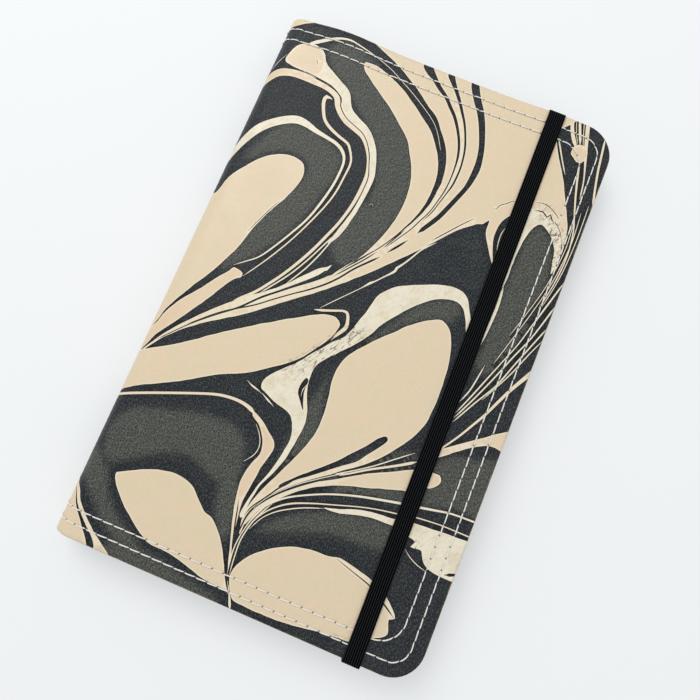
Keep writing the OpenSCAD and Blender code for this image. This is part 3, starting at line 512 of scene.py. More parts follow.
def smooth_line(points, closed):
    """A curve through the points, in steps of about CURVE_STEP."""
    n = len(points)
    out = []
    for i in range(n if closed else n - 1):
        if closed:
            a, b, c, d = (np.array(points[(i + k) % n], float) for k in (-1, 0, 1, 2))
        else:
            a, b = np.array(points[max(i - 1, 0)], float), np.array(points[i], float)
            c, d = np.array(points[i + 1], float), np.array(points[min(i + 2, n - 1)], float)
        steps = max(2, int(np.linalg.norm((c - b)[:2]) / CURVE_STEP))
        for k in range(steps):
            t = k / steps
            out.append(0.5 * (2 * b + (c - a) * t + (2 * a - 5 * b + 4 * c - d) * t ** 2
                              + (3 * b - a - 3 * c + d) * t ** 3))
    if not closed:
        out.append(np.array(points[-1], float))
    return out


def hand_drawn(x, y):
    """A drawn point, moved a little as printing ink wanders."""
    spot = Vector((x * INK_WANDER_RATE, y * INK_WANDER_RATE, INK_WANDER_SEED))
    other = spot + Vector((9, 5, 2))
    return x + INK_WANDER * noise.noise(spot), y + INK_WANDER * noise.noise(other)


def field_outline(points):
    """The closed outline of a field, on the rolled-out cover."""
    return np.array([to_flat(*hand_drawn(*p)) for p in smooth_line(points, True)])


def streak_outline(points):
    """The closed outline of a streak, which narrows to both ends."""
    line = np.array(smooth_line(points, False))
    steps = np.linalg.norm(np.diff(line[:, :2], axis=0), axis=1)
    at = np.concatenate([[0], np.cumsum(steps)])
    from_end = np.minimum(at, at[-1] - at)
    line[:, 2] *= np.clip(from_end / STREAK_TIP, 0.1, 1)
    along = np.gradient(line[:, :2], axis=0)
    along /= np.linalg.norm(along, axis=1)[:, None] + 1e-9
    side = np.stack([-along[:, 1], along[:, 0]], axis=1) * np.maximum(line[:, 2:3], 0.12) / 2
    loop = np.concatenate([line[:, :2] + side, (line[:, :2] - side)[::-1]])
    return np.array([to_flat(x, y) for x, y in loop])


def inside(points, loop):
    """Which points lie inside a closed loop."""
    hit = np.zeros(len(points), bool)
    low, high = loop.min(0), loop.max(0)
    near = np.flatnonzero(((points >= low) & (points <= high)).all(1))
    if not len(near):
        return hit
    x, y = points[near, 0][:, None], points[near, 1][:, None]
    x0, y0 = loop[:, 0][None], loop[:, 1][None]
    x1, y1 = np.roll(loop[:, 0], -1)[None], np.roll(loop[:, 1], -1)[None]
    crosses = (y0 > y) != (y1 > y)
    rise = np.where(y1 == y0, 1e-12, y1 - y0)
    count = (crosses & (x < (x1 - x0) * (y - y0) / rise + x0)).sum(1)
    hit[near] = count % 2 == 1
    return hit


def cover_loop(inset, low_u=FOLD_U):
    """The cover's outline on the flat, inset from its cut edges but not from low_u, its fold."""
    radius = CORNER_R - inset
    middle = FORE_X - CORNER_R
    top = HALF_HIGH - CORNER_R
    along = [low_u + (middle - low_u) * k / END_POINTS for k in range(END_POINTS)]
    turn = [math.pi / 2 * k / CORNER_POINTS for k in range(CORNER_POINTS)]
    side = [-top + 2 * top * k / SIDE_POINTS for k in range(SIDE_POINTS)]
    spine = [1 - 2 * k / END_POINTS for k in range(END_POINTS)]
    loop = [(u, -HALF_HIGH + inset) for u in along]
    loop += [(middle + radius * math.sin(a), -top - radius * math.cos(a)) for a in turn]
    loop += [(FORE_X - inset, v) for v in side]
    loop += [(middle + radius * math.cos(a), top + radius * math.sin(a)) for a in turn]
    loop += [(u, HALF_HIGH - inset) for u in [middle] + along[:0:-1]]
    loop += [(low_u, s * (HALF_HIGH - inset)) for s in spine]
    return np.array(loop)


def row_path(inset, corner):
    """A row of stitches, from the fold at the tail round the cover to the fold at the head."""
    middle = FORE_X - inset - corner
    top = HALF_HIGH - inset - corner
    turn = np.linspace(0, math.pi / 2, 24)
    line = [(u, -top - corner) for u in np.linspace(FOLD_U, middle, 200)[:-1]]
    line += [(middle + corner * math.sin(a), -top - corner * math.cos(a)) for a in turn]
    line += [(FORE_X - inset, v) for v in np.linspace(-top, top, 200)[1:-1]]
    line += [(middle + corner * math.cos(a), top + corner * math.sin(a)) for a in turn]
    line += [(u, top + corner) for u in np.linspace(middle, FOLD_U, 200)[1:]]
    return np.array(line)


class Path:
    """A line that can be asked for its point and direction at a distance along it."""

    def __init__(self, points):
        self.points = points
        steps = np.linalg.norm(np.diff(points, axis=0), axis=1)
        self.at = np.concatenate([[0], np.cumsum(steps)])
        self.length = self.at[-1]

    def point(self, s):
        """The point at a distance along the line."""
        return np.array([np.interp(s, self.at, self.points[:, k]) for k in (0, 1)])

    def direction(self, s):
        """The way the line runs there, from points 0.4 mm to either side."""
        d = self.point(min(s + 0.4, self.length)) - self.point(max(s - 0.4, 0))
        return d / np.linalg.norm(d)


OUTER_PATH = Path(row_path(OUTER_ROW, OUTER_ROW_CORNER))
INNER_PATH = Path(row_path(INNER_ROW, INNER_ROW_CORNER))


def stitch_step(path):
    """The stitches' pitch, evened out so that a whole number of them fills the path."""
    return path.length / round(path.length / STITCH_PITCH)


def needle_holes(path):
    """The points where the thread goes through the leather."""
    step = stitch_step(path)
    return [path.point(k * step) for k in range(1, round(path.length / step))]


def seam_depth(points):
    """How much each point dips into a needle hole, from 0 to 1."""
    depth = np.zeros(len(points))
    for path in (OUTER_PATH, INNER_PATH):
        for hole in needle_holes(path):
            near = np.abs(points - hole).max(1) < HOLE_END
            off = np.linalg.norm(points[near] - hole, axis=1)
            depth[near] = np.maximum(depth[near], gauss(off, 0, HOLE_REACH))
    return depth


def triangulate(loops, extra, edge_loop):
    """Triangles that follow every loop, and fill the outline edge_loop."""
    points, edges = [], []
    for loop in [edge_loop, *loops]:
        first = len(points)
        points += [Vector(p) for p in loop]
        n = len(loop)
        edges += [(first + k, first + (k + 1) % n) for k in range(n)]
    points += [Vector(p) for p in extra]
    result = geometry.delaunay_2d_cdt(points, edges, [], 0, 1e-5)
    verts = np.array([tuple(v) for v in result[0]])
    faces = np.array([f for f in result[2] if len(f) == 3])
    middles = verts[faces].mean(1)
    faces = faces[inside(middles, edge_loop)]
    a, b, c = verts[faces[:, 0]], verts[faces[:, 1]], verts[faces[:, 2]]
    area = (b[:, 0] - a[:, 0]) * (c[:, 1] - a[:, 1]) - (b[:, 1] - a[:, 1]) * (c[:, 0] - a[:, 0])
    faces = np.where((area < 0)[:, None], faces[:, ::-1], faces)[np.abs(area) > 1e-7]
    used = np.unique(faces)
    again = np.full(len(verts), -1)
    again[used] = np.arange(len(used))
    return verts[used], again[faces]


def grid_points(step, spine_step):
    """An even scatter of points over the cover, closer together round the spine."""
    out = []
    u = FOLD_U + spine_step
    row = 0
    while u < FORE_X - 0.5:
        half = step / 2 if row % 2 else 0
        out += [(u, v + half) for v in np.arange(-HALF_HIGH + 1.2, HALF_HIGH - 1.2, step)]
        u += spine_step if u < SPINE_X + 1 else step * 0.87
        row += 1
    return out


def make_mesh(name, points, faces, materials, face_materials=None, smooth=True):
    """A piece from points in millimetres."""
    mesh = bpy.data.meshes.new(name)
    mesh.from_pydata((np.asarray(points) * MM).tolist(), [], [list(map(int, f)) for f in faces])
    for material in materials:
        mesh.materials.append(material)
    if face_materials is not None:
        mesh.polygons.foreach_set("material_index", np.asarray(face_materials, np.int32))
    mesh.polygons.foreach_set("use_smooth", [smooth] * len(mesh.polygons))
    mesh.update()
    piece = bpy.data.objects.new(name, mesh)
    bpy.context.scene.collection.objects.link(piece)
    return piece


def set_values(piece, name, values):
    """Keeps a value at each point, for the piece's finish."""
    attribute = piece.data.attributes.new(name, "FLOAT", "POINT")
    attribute.data.foreach_set("value", np.asarray(values, np.float32))


def set_sheet_map(piece, flat):
    """Keeps each point's place on the flat leather, in centimetres, for its finish."""
    layer = piece.data.uv_layers.new(name="sheet")
    corners = np.zeros(len(piece.data.loops), np.int32)
    piece.data.loops.foreach_get("vertex_index", corners)
    layer.data.foreach_set("uv", (np.asarray(flat)[corners] / 10).astype(np.float32).ravel())


# edge profile of the leather, as (inset, lift)
EDGE_PROFILE = [(0.22, -0.02), (0.05, -0.22), (0.0, -0.62), (0.05, -1.05), (0.3, -LEATHER)]
DARK_PRINT, BEIGE_LEATHER, ROSE_PRINT, CREAM_PRINT, CUT_EDGE, UNDERSIDE = range(6)

# the print, from the first layer laid on to the last, as (ink, fields, streaks)
PRINT_LAYERS = [
    (BEIGE_LEATHER, BEIGE_FIELDS, BEIGE_STREAKS),
    (ROSE_PRINT, ROSE_FIELDS, ROSE_STREAKS),
    (CREAM_PRINT, CREAM_FIELDS, CREAM_STREAKS),
    (BEIGE_LEATHER, [CURL_END], []),
    (DARK_PRINT, DARK_FIELDS, DARK_STREAKS),
    (CREAM_PRINT, [], CREAM_HAIRLINES),
]


def patch_share(points, patches):
    """How much each point lies in a set of soft round patches."""
    share = np.zeros(len(points))
    for x, y, reach in patches:
        middle = np.array(to_flat(x, y))
        near = np.linalg.norm(points - middle, axis=1) / (reach * 1.25)
        share = np.maximum(share, np.clip(1.1 - near ** 2, 0, 1))
    return share


def field_share(points, fields, soft):
    """How much each point lies in a set of fields, with borders that fade over soft mm."""
    share = np.zeros(len(points))
    for outline in fields:
        loop = field_outline(outline)
        off = np.linalg.norm(points[:, None] - loop[None], axis=2).min(1)
        signed = np.where(inside(points, loop), off, -off)
        share = np.maximum(share, np.clip(0.5 + signed / soft, 0, 1))
    return share


def marbled_sheet():
    """The top of the leather: its points, triangles, and the print on each triangle."""
    painted = []
    for ink, fields, streaks in PRINT_LAYERS:
        painted += [(ink, field_outline(p)) for p in fields]
        painted += [(ink, streak_outline(p)) for p in streaks]
    extra = grid_points(*TOP_STEPS)
    for path in (OUTER_PATH, INNER_PATH):
        for hole in needle_holes(path):
            extra.append(tuple(hole))
            for reach in HOLE_RINGS:
                extra += [(hole[0] + reach * math.cos(k * math.pi / 3),
                           hole[1] + reach * math.sin(k * math.pi / 3)) for k in range(6)]
    edge = cover_loop(EDGE_PROFILE[0][0])
    room = inside(np.array(extra), cover_loop(0.8))
    extra = [p for p, keep in zip(extra, room) if keep]
    points, faces = triangulate([loop for _, loop in painted], extra, edge)
    middles = points[faces].mean(1)
    inks = np.zeros(len(faces), int)
    for ink, loop in painted:
        inks[inside(middles, loop)] = ink
    return points, faces, inks, border_distance(points, faces, inks)


def border_distance(points, faces, inks):
    """How far each point lies from the nearest change of colour."""
    owner = {}
    border = set()
    for face, ink in zip(faces.tolist(), inks.tolist()):
        for a, b in ((face[0], face[1]), (face[1], face[2]), (face[2], face[0])):
            key = (min(a, b), max(a, b))
            if owner.setdefault(key, ink) != ink:
                border |= {a, b}
    tree = kdtree.KDTree(len(border))
    for k, i in enumerate(sorted(border)):
        tree.insert((*points[i], 0), k)
    tree.balance()
    return np.array([tree.find((*p, 0))[2] for p in points])


def match(points, loop):
    """The index in points of each point of the loop."""
    return [int(np.argmin(np.abs(points - p).sum(1))) for p in loop]


def rim_of(faces):
    """The points round the outside of a flat mesh, in order."""
    directed = set()
    for f in faces:
        directed |= {(f[0], f[1]), (f[1], f[2]), (f[2], f[0])}
    after = {a: b for a, b in directed if (b, a) not in directed}
    start = min(after)
    loop = [start]
    while after[loop[-1]] != start:
        loop.append(after[loop[-1]])
    return loop


def outward(points, inset):
    """Which way the cut edge faces at each point of the rim: the fold has no cut edge."""
    out = np.zeros_like(points)
    centre_u, centre_v = FORE_X - CORNER_R, HALF_HIGH - CORNER_R
    for k, (u, v) in enumerate(points):
        if u > centre_u and abs(v) > centre_v:
            away = np.array([u - centre_u, v - math.copysign(centre_v, v)])
            out[k] = away / np.linalg.norm(away)
        elif abs(v) > HALF_HIGH - inset - 1e-4:
            out[k] = (0, math.copysign(1, v))
        elif u > FOLD_U + 1e-4:
            out[k] = (1, 0)
    return out


def cover_half(name, sheet_top, materials, back):
    """One cover's leather with its half of the spine, as one closed skin."""
    top, top_faces, inks, borders = sheet_top
    first_inset, first_lift = EDGE_PROFILE[0]
    ring = rim_of(top_faces)
    n = len(ring)
    facing = outward(top[ring], first_inset)
    flat, lift = [top], [-HOLE_DEPTH * seam_depth(top)]
    lift[0][ring] = first_lift
    faces, kinds = [tuple(f) for f in top_faces], list(inks)
    last, base = ring, len(top)
    at_fold = top[ring][:, 0] < FOLD_U + 0.01
    wall = [UNDERSIDE if at_fold[k] and at_fold[(k + 1) % n] else CUT_EDGE for k in range(n)]
    for inset, drop in EDGE_PROFILE[1:]:
        loop = top[ring] + facing * (first_inset - inset)
        flat.append(loop)
        lift.append(np.full(n, drop))
        new = list(range(base, base + n))
        base += n
        faces += [(last[k], new[k], new[(k + 1) % n], last[(k + 1) % n]) for k in range(n)]
        kinds += wall
        last = new
    under, under_faces = triangulate([], inner_only(grid_points(*UNDERSIDE_STEPS), loop), loop)
    place = dict(zip(match(under, loop), last))
    spare = [i for i in range(len(under)) if i not in place]
    place.update({i: base + k for k, i in enumerate(spare)})
    flat.append(under[spare])
    lift.append(np.full(len(spare), -LEATHER))
    faces += [tuple(place[i] for i in reversed(f)) for f in under_faces]
    kinds += [UNDERSIDE] * len(under_faces)
    flat, lift = np.concatenate(flat), np.concatenate(lift)
    if back:
        faces = [f[::-1] for f in faces]
    piece = make_mesh(name, wrap(flat[:, 0], flat[:, 1], lift, back), faces, materials, kinds)
    set_sheet_map(piece, flat)
    set_values(piece, "olive", field_share(flat, OLIVE_FIELDS, OLIVE_FADE))
    set_values(piece, "hole", seam_depth(flat))
    set_values(piece, "crackle", patch_share(flat, CRACKLE_PATCHES))
    far_off = np.full(len(flat) - len(top), FAR_FROM_BORDER)
    set_values(piece, "border", np.concatenate([borders, far_off]))
    to_edge = np.minimum(FORE_X - flat[:, 0], HALF_HIGH - np.abs(flat[:, 1]))
    set_values(piece, "rim", np.clip(1 - to_edge / RIM_WIDE, 0, 1))
    return piece


def inner_only(points, loop):
    """The points that lie well inside the loop."""
    shrunk = loop * 0.99
    return [p for p, keep in zip(points, inside(np.array(points), shrunk)) if keep]


# Thread, elastic, pockets and pages

# a stitch: its share of the step between two holes, how far it slants across the row, how high
# its middle rides, how deep its ends dip, and its radius there and in the middle
STITCH_SHARE = 0.94
STITCH_SLANT = 0.1
STITCH_RISE = 0.24
STITCH_DIP = 0.42
STITCH_R = 0.27
STITCH_TAPER = 0.4
STITCH_FLATNESS = 0.8


def tube_faces(rings, n):
    """The sides and both ends of a solid made of rings of n points."""
    faces = []
    for j in range(rings - 1):
        for k in range(n):
            m = (k + 1) % n
            faces.append((j * n + k, j * n + m, (j + 1) * n + m, (j + 1) * n + k))
    faces.append(tuple(reversed(range(n))))
    faces.append(tuple((rings - 1) * n + k for k in range(n)))
    return faces


def stitches(name, path, lift_at, material, back, flip=False):
    """A row of thread, each stitch arched between its two needle holes."""
    points, faces = [], []
    step = stitch_step(path)
    length = step * STITCH_SHARE
    sections, sides = 8, 6
    for i in range(round(path.length / step)):
        middle = (i + 0.5) * step
        for j in range(sections + 1):
            t = j / sections * 2 - 1
            s = middle + t * length / 2
            spot, along = path.point(s), path.direction(s)
            across = np.array([-along[1], along[0]])
            spot = spot + across * STITCH_SLANT * t
            high = STITCH_RISE - STITCH_DIP * abs(t) ** 6
            thick = STITCH_R * (1 - STITCH_TAPER * abs(t) ** 6)
            for k in range(sides):
                a = 2 * math.pi * k / sides
                at = spot + across * thick * math.cos(a)
                rise = (high + STITCH_FLATNESS * thick * math.sin(a)) * (-1 if flip else 1)
                points.append((*at, lift_at(*at) + rise))
        base = len(points) - (sections + 1) * sides
        for j in range(sections):
            for k in range(sides):
                m = (k + 1) % sides
                a, b = base + j * sides, base + (j + 1) * sides
                faces.append((a + k, b + k, b + m, a + m))
        faces.append(tuple(base + k for k in range(sides)))
        faces.append(tuple(base + sections * sides + k for k in reversed(range(sides))))
    points = np.array(points)
    if back != flip:
        faces = [f[::-1] for f in faces]
    piece = make_mesh(name, wrap(points[:, 0], points[:, 1], points[:, 2], back), faces, [material])
    set_sheet_map(piece, points[:, :2])
    return piece


ELASTIC_WIDE = 6.9
ELASTIC_THICK = 1.0
ELASTIC_RIBS = 8
RIB_DEPTH = 0.12
# how far the elastic's round edges stand out, and half the height of their flat
SELVEDGE = 0.12
SELVEDGE_FLAT = 0.2
# angle that the ribs' wave turns through in a centimetre across the elastic
RIB_TURN = 2 * math.pi * ELASTIC_RIBS / (ELASTIC_WIDE / 10)


def strap(name, line, x_at, material):
    """A ribbed elastic along a line of (y, z) points; x_at gives its middle at each point."""
    wide, steps = ELASTIC_WIDE, ELASTIC_RIBS * 4
    profile = []
    for k in range(steps + 1):
        t = k / steps
        dip = RIB_DEPTH * (1 - math.cos(2 * math.pi * ELASTIC_RIBS * (t - 0.5))) / 2
        profile.append((wide * (t - 0.5), ELASTIC_THICK / 2 - dip))
    edge = wide / 2 + SELVEDGE
    profile += [(edge, SELVEDGE_FLAT), (edge, -SELVEDGE_FLAT)]
    profile += [(x, -h) for x, h in reversed(profile[:steps + 1])]
    profile += [(-edge, -SELVEDGE_FLAT), (-edge, SELVEDGE_FLAT)]
    line = np.array(line)
    along = np.gradient(line, axis=0)
    along /= np.linalg.norm(along, axis=1)[:, None]
    points, flat = [], []
    run = 0.0
    for k, ((y, z), (dy, dz)) in enumerate(zip(line, along)):
        run += np.linalg.norm(line[k] - line[k - 1]) if k else 0
        points += [(x_at(y) + px, y - dz * ph, z + dy * ph) for px, ph in profile]
        flat += [(px, run) for px, _ in profile]
    piece = make_mesh(name, points, tube_faces(len(line), len(profile)), [material])
    set_sheet_map(piece, flat)
    return piece


# where the elastic crosses the front's middle, and how far it leans from head to tail
ELASTIC_X = FORE_X - 26.0
ELASTIC_SLANT = 2.8
ELASTIC_LOW, ELASTIC_HIGH = in_mm(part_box("elastic_band"))
# its middle line beyond the covers' ends and over the front
ELASTIC_OUT = ELASTIC_HIGH[1] - ELASTIC_THICK / 2
ELASTIC_TOP = ELASTIC_HIGH[2] - ELASTIC_THICK / 2
# it turns round the cover's edges with this radius, and sags a little between them
ELASTIC_TURN = 1.4
ELASTIC_SAG = 0.25
# its sewn ends: how far they reach in under the lining, their turn, and their room there
TAB_REACH = 7.5
TAB_TURN = 0.9
TAB_ROOM = 0.25


def elastic_x(y):
    """The middle of the elastic at a height up the cover."""
    return ELASTIC_X - ELASTIC_SLANT / 2 * y / HALF_HIGH


def elastic_line():
    """From the split at the tail, up, over the front and down at the head, with soft turns."""
    r, out, top = ELASTIC_TURN, ELASTIC_OUT, ELASTIC_TOP
    end = [(-out, z) for z in np.linspace(ELASTIC_LOW[2], top - r, 8)]
    end += [(-out + r * (1 - math.cos(a)), top - r * (1 - math.sin(a)))
            for a in np.linspace(0, math.pi / 2, 9)[1:]]
    front = [(y, top - ELASTIC_SAG * (1 - (y / HALF_HIGH) ** 8))
             for y in np.linspace(-out + r, out - r, 42)[1:-1]]
    return end + front + [(-y, z) for y, z in reversed(end)]


def tab_line(side):
    """The elastic's sewn end: out from between leather and lining, then up."""
    r, out = TAB_TURN, ELASTIC_OUT
    z0 = LEATHER + LINING / 2 + TAB_ROOM
    line = [(y, z0) for y in np.linspace(HALF_HIGH - TAB_REACH, out - r, 6)]
    line += [(out - r * (1 - math.sin(a)), z0 + r * (1 - math.cos(a)))
             for a in np.linspace(0, math.pi / 2, 7)[1:]]
    line += [(out, z) for z in np.linspace(z0 + r, ELASTIC_LOW[2], 4)[1:]]
    return [(side * y, z) for y, z in (line if side > 0 else line[::-1])]


# the pocket's leather slopes down from the board's edge over this width, which starts so far out
PRESSED_WIDE = 2.3
PRESSED_FROM = 2.6
# how far it sags over the board
POCKET_SAG = 0.12
# steps of its even scatter of points, and of the points that follow the board's edge
FLAP_STEP = 4.5
PRESSED_STEP = 2.5
# room between it and the lining under it
FLAP_ROOM = 0.06


def board_distance(u, v):
    """How far a point lies outside the insert's board, negative over it."""
    right = BOARD_HIGH[0] + BOARD_ROOM - BOARD_CORNER
    high = BOARD_HIGH[1] + BOARD_ROOM - BOARD_CORNER
    dx, dy = u - right, abs(v) - high
    return math.hypot(max(dx, 0), max(dy, 0)) + min(max(dx, dy), 0) - BOARD_CORNER


def pocket_lift(u, v):
    """The pocket's open face over the rim and the board, measured inwards from the cover."""
    if u < POCKET_EDGE_X:
        return -(LEATHER + LINING)
    t = min(max((PRESSED_FROM - board_distance(u, v)) / PRESSED_WIDE, 0), 1)
    t = t * t * (3 - 2 * t)
    sag = POCKET_SAG * noise.noise(Vector((u * 0.03, v * 0.03, 7)))
    return -(POCKET_DEPTH_RIM + t * (POCKET_DEPTH_TOP - POCKET_DEPTH_RIM) + t * sag)


def pocket_flap(name, material, back):
    """The pocket's leather: pressed over the board's edge and sewn down round it."""
    loop = cover_loop(0.3, POCKET_EDGE_X)
    extra = [(u, v) for u in np.arange(POCKET_EDGE_X + 2, FORE_X, FLAP_STEP)
             for v in np.arange(-HALF_HIGH + 2, HALF_HIGH, FLAP_STEP)]
    for off in np.arange(-0.6, 3.2, 0.6):
        reach = BOARD_HIGH[0] + BOARD_ROOM + off
        high = BOARD_HIGH[1] + BOARD_ROOM + off
        r = BOARD_CORNER + off
        for s in (-1, 1):
            straight = np.arange(POCKET_EDGE_X + 1, reach - r, PRESSED_STEP)
            extra += [(u, s * high) for u in straight]
            extra += [(reach - r + r * math.cos(a), s * (high - r + r * math.sin(a)))
                      for a in np.linspace(0, math.pi / 2, 10)]
        extra += [(reach, v) for v in np.arange(-high + r, high - r, PRESSED_STEP)]
    room = inside(np.array(extra), cover_loop(1.0, POCKET_EDGE_X + 0.7))
    flat, faces = triangulate([], [p for p, keep in zip(extra, room) if keep], loop)
    face_lift = np.array([pocket_lift(u, v) for u, v in flat])
    n = len(flat)
    ring = rim_of(faces)
    solid = [tuple(f) for f in faces]
    solid += [tuple(int(i) + n for i in reversed(f)) for f in faces]
    solid += [(ring[k], ring[k - 1], ring[k - 1] + n, ring[k] + n) for k in range(len(ring))]
    both = np.concatenate([flat, flat])
    lift = np.concatenate([face_lift, face_lift + POCKET - FLAP_ROOM])
    if not back:
        solid = [f[::-1] for f in solid]
    piece = make_mesh(name, wrap(both[:, 0], both[:, 1], lift, back), solid, [material])
    set_sheet_map(piece, both)
    return piece


GATHERINGS = 26
PAGE_CORNER = 7.0
# each gathering's folded edges, as (height in from its own face, inset)
GATHERING_EDGES = [(0.02, 0.28), (0.09, 0.05)]
# how far a gathering slips out of line, and how far out it may stand
SLIP = 0.22
SLIP_OUT = 0.05
# room between the gatherings and the insert's spine
BACK_ROOM = 0.2


def page_outline(x0, x1, y1):
    """A page seen from above, square at the spine and round at the fore edge."""
    r = PAGE_CORNER
    turn = np.linspace(0, math.pi / 2, 8)
    loop = [(x0, -y1)]
    loop += [(x1 - r + r * math.sin(a), -y1 + r - r * math.cos(a)) for a in turn]
    loop += [(x1 - r + r * math.cos(a), y1 - r + r * math.sin(a)) for a in turn]
    return loop + [(x0, y1)]


def leaves(name, material):
    """The pages: a block whose sewn gatherings stand a hair in or out of line."""
    low, high = in_mm(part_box("text_block"))
    thick = high[2] - low[2]
    rings = []
    for k in range(GATHERINGS):
        z0 = low[2] + thick * k / GATHERINGS
        z1 = low[2] + thick * (k + 1) / GATHERINGS
        slip = min(SLIP * noise.noise(Vector((k * 1.7, 3.1, 0.4))), SLIP_OUT)
        levels = [(z0 + up, inset) for up, inset in GATHERING_EDGES]
        levels += [(z1 - up, inset) for up, inset in reversed(GATHERING_EDGES)]
        for z, inset in levels:
            x1, y1 = high[0] - inset + slip, high[1] - inset + slip
            outline = page_outline(low[0] + BACK_ROOM, x1, y1)
            rings.append([(x, y, z) for x, y in outline])
    faces = tube_faces(len(rings), len(rings[0]))
    points = [point for ring in rings for point in ring]
    return make_mesh(name, points, faces, [material], smooth=False)


# Finishes

class Nodes:
    """Adds nodes to a material's or a group's tree and links their inputs."""

    def __init__(self, tree):
        self.tree = tree

    def add(self, kind, settings=None, **inputs):
        """A node with its settings, and its inputs named with _ for a space."""
        node = self.tree.nodes.new(kind)
        for key, value in (settings or {}).items():
            setattr(node, key, value)
        for key, value in inputs.items():
            self.put(node.inputs[key.replace("_", " ")], value)
        return node

    def put(self, socket, value):
        """Links a socket to another node's output, or gives it a value."""
        if isinstance(value, bpy.types.NodeSocket):
            self.tree.links.new(value, socket)
        else:
            socket.default_value = value

    def math(self, operation, a, b=0.0, c=0.0):
        node = self.tree.nodes.new("ShaderNodeMath")
        node.operation = operation
        for socket, value in zip(node.inputs, (a, b, c)):
            self.put(socket, value)
        return node.outputs[0]

    def times(self, a, b):
        return self.math("MULTIPLY", a, b)

    def add_share(self, base, value, share):
        """The base and a share of the value."""
        return self.math("ADD", base, self.times(value, share))

    def mix(self, share, a, b):
        """From a, where the share is 0, to b, where it is 1."""
        node = self.tree.nodes.new("ShaderNodeMix")
        node.data_type = "RGBA"
        self.put(node.inputs[0], share)
        self.put(node.inputs[6], a)
        self.put(node.inputs[7], b)
        return node.outputs[2]

    def noise(self, where, scale, detail=3.0, roughness=0.55):
        node = self.add("ShaderNodeTexNoise", Vector=where, Scale=scale, Detail=detail,
                        Roughness=roughness)
        return node.outputs["Fac"]

    def ramp(self, value, low, high):
        """0 below low, 1 above high, smooth between."""
        node = self.tree.nodes.new("ShaderNodeMapRange")
        node.interpolation_type = "SMOOTHSTEP"
        for key, v in (("Value", value), ("From Min", low), ("From Max", high)):
            self.put(node.inputs[key], v)
        return node.outputs["Result"]


NUMBER, COLOR, PLACE = "NodeSocketFloat", "NodeSocketColor", "NodeSocketVector"


def new_group(name, inputs, outputs):
    """A node group, and what it takes in and puts out."""
    group = bpy.data.node_groups.new(name, "ShaderNodeTree")
    for label, kind, value in inputs:
        socket = group.interface.new_socket(name=label, in_out="INPUT", socket_type=kind)
        if value is not None:
            socket.default_value = value
    for label, kind in outputs:
        group.interface.new_socket(name=label, in_out="OUTPUT", socket_type=kind)
    given = group.nodes.new("NodeGroupInput").outputs
    out = group.nodes.new("NodeGroupOutput").inputs
    return group, Nodes(group), given, out


def use_group(n, group, **inputs):
    """A node group placed in a material, with its own values."""
    return n.add("ShaderNodeGroup", {"node_tree": group}, **inputs).outputs


def value_at(n, name):
    """A value that the piece keeps at each point."""
    return n.add("ShaderNodeAttribute", {"attribute_name": name}).outputs["Fac"]


def axes(n, place):
    """The place's x, y and z."""
    return n.add("ShaderNodeSeparateXYZ", Vector=place).outputs


def leather_grain_group():
    """Fine pebbles and pores of leather: a height, and masks for pebbles and broad mottling."""
    group, n, given, out = new_group(
        "leather_grain",
        [("Place", PLACE, None), ("Pebbles per cm", NUMBER, 22.0)],
        [("Height", NUMBER), ("Pebble", NUMBER), ("Mottle", NUMBER)])
    place = given["Place"]
    bent = n.add("ShaderNodeTexNoise", Vector=place, Scale=6.0, Detail=2.0)
    push = n.add("ShaderNodeVectorMath", {"operation": "MULTIPLY_ADD"})
    for socket, value in zip(push.inputs, (bent.outputs["Color"], (0.05, 0.05, 0.05), place)):
        n.put(socket, value)
    cells = n.add("ShaderNodeTexVoronoi", {"feature": "SMOOTH_F1"}, Vector=push.outputs[0],
                  Scale=given["Pebbles per cm"], Smoothness=0.4)
    pebble = n.ramp(cells.outputs["Distance"], 0.65, 0.1)
    fine = n.noise(place, 60.0, 2.0)
    n.put(out["Height"], n.add_share(n.times(pebble, 0.7), fine, 0.3))
    n.put(out["Pebble"], n.times(pebble, n.noise(place, 14.0, 2.0)))
    n.put(out["Mottle"], n.noise(place, 0.9, 3.0))
    return group


def hole_shade_and_wear_group():
    """Paints shade into needle holes and lightens rubbed rims."""
    group, n, given, out = new_group(
        "leather_hole_shade_and_wear",
        [("Color", COLOR, None), ("Hole color", COLOR, HAIRLINE_AND_HOLE_SHADE_BROWN),
         ("Rim color", COLOR, RAW_EDGE), ("Place", PLACE, None)],
        [("Color", COLOR)])
    patchy = n.ramp(n.noise(given["Place"], 3.0, 3.0), 0.45, 0.7)
    rubbed = n.times(n.times(n.ramp(value_at(n, "rim"), 0.8, 1.0), patchy), 0.5)
    color = n.mix(rubbed, given["Color"], given["Rim color"])
    # painted shade in the needle holes
    hole_shade = n.times(n.ramp(value_at(n, "hole"), 0.3, 0.75), 0.95)
    n.put(out["Color"], n.mix(hole_shade, color, given["Hole color"]))
    return group


def fibre_group():
    """Crossed threads of a woven or pressed surface: a height and a mask of loose fibres."""
    group, n, given, out = new_group(
        "fibres",
        [("Place", PLACE, None), ("Threads per cm", NUMBER, 12.0)],
        [("Height", NUMBER), ("Fibre", NUMBER)])
    x, y, _ = axes(n, given["Place"])
    turn = n.times(given["Threads per cm"], 2 * math.pi)
    weave = n.times(n.math("SINE", n.times(x, turn)), n.math("SINE", n.times(y, turn)))
    rough = n.noise(given["Place"], 30.0, 3.0)
    n.put(out["Height"], n.add_share(rough, weave, 0.3))
    n.put(out["Fibre"], n.ramp(rough, 0.4, 0.7))
    return group


GRAIN = leather_grain_group()
HOLE_SHADE_AND_WEAR = hole_shade_and_wear_group()
FIBRES = fibre_group()


def new_material(name, roughness, **shader_values):
    """A material with its shader's plain values, and its nodes."""
    material = bpy.data.materials.new(name)
    material.use_nodes = True
    shader = material.node_tree.nodes["Principled BSDF"]
    shader.inputs["Roughness"].default_value = roughness
    for key, value in shader_values.items():
        shader.inputs[key.replace("_", " ")].default_value = value
    return material, Nodes(material.node_tree), shader


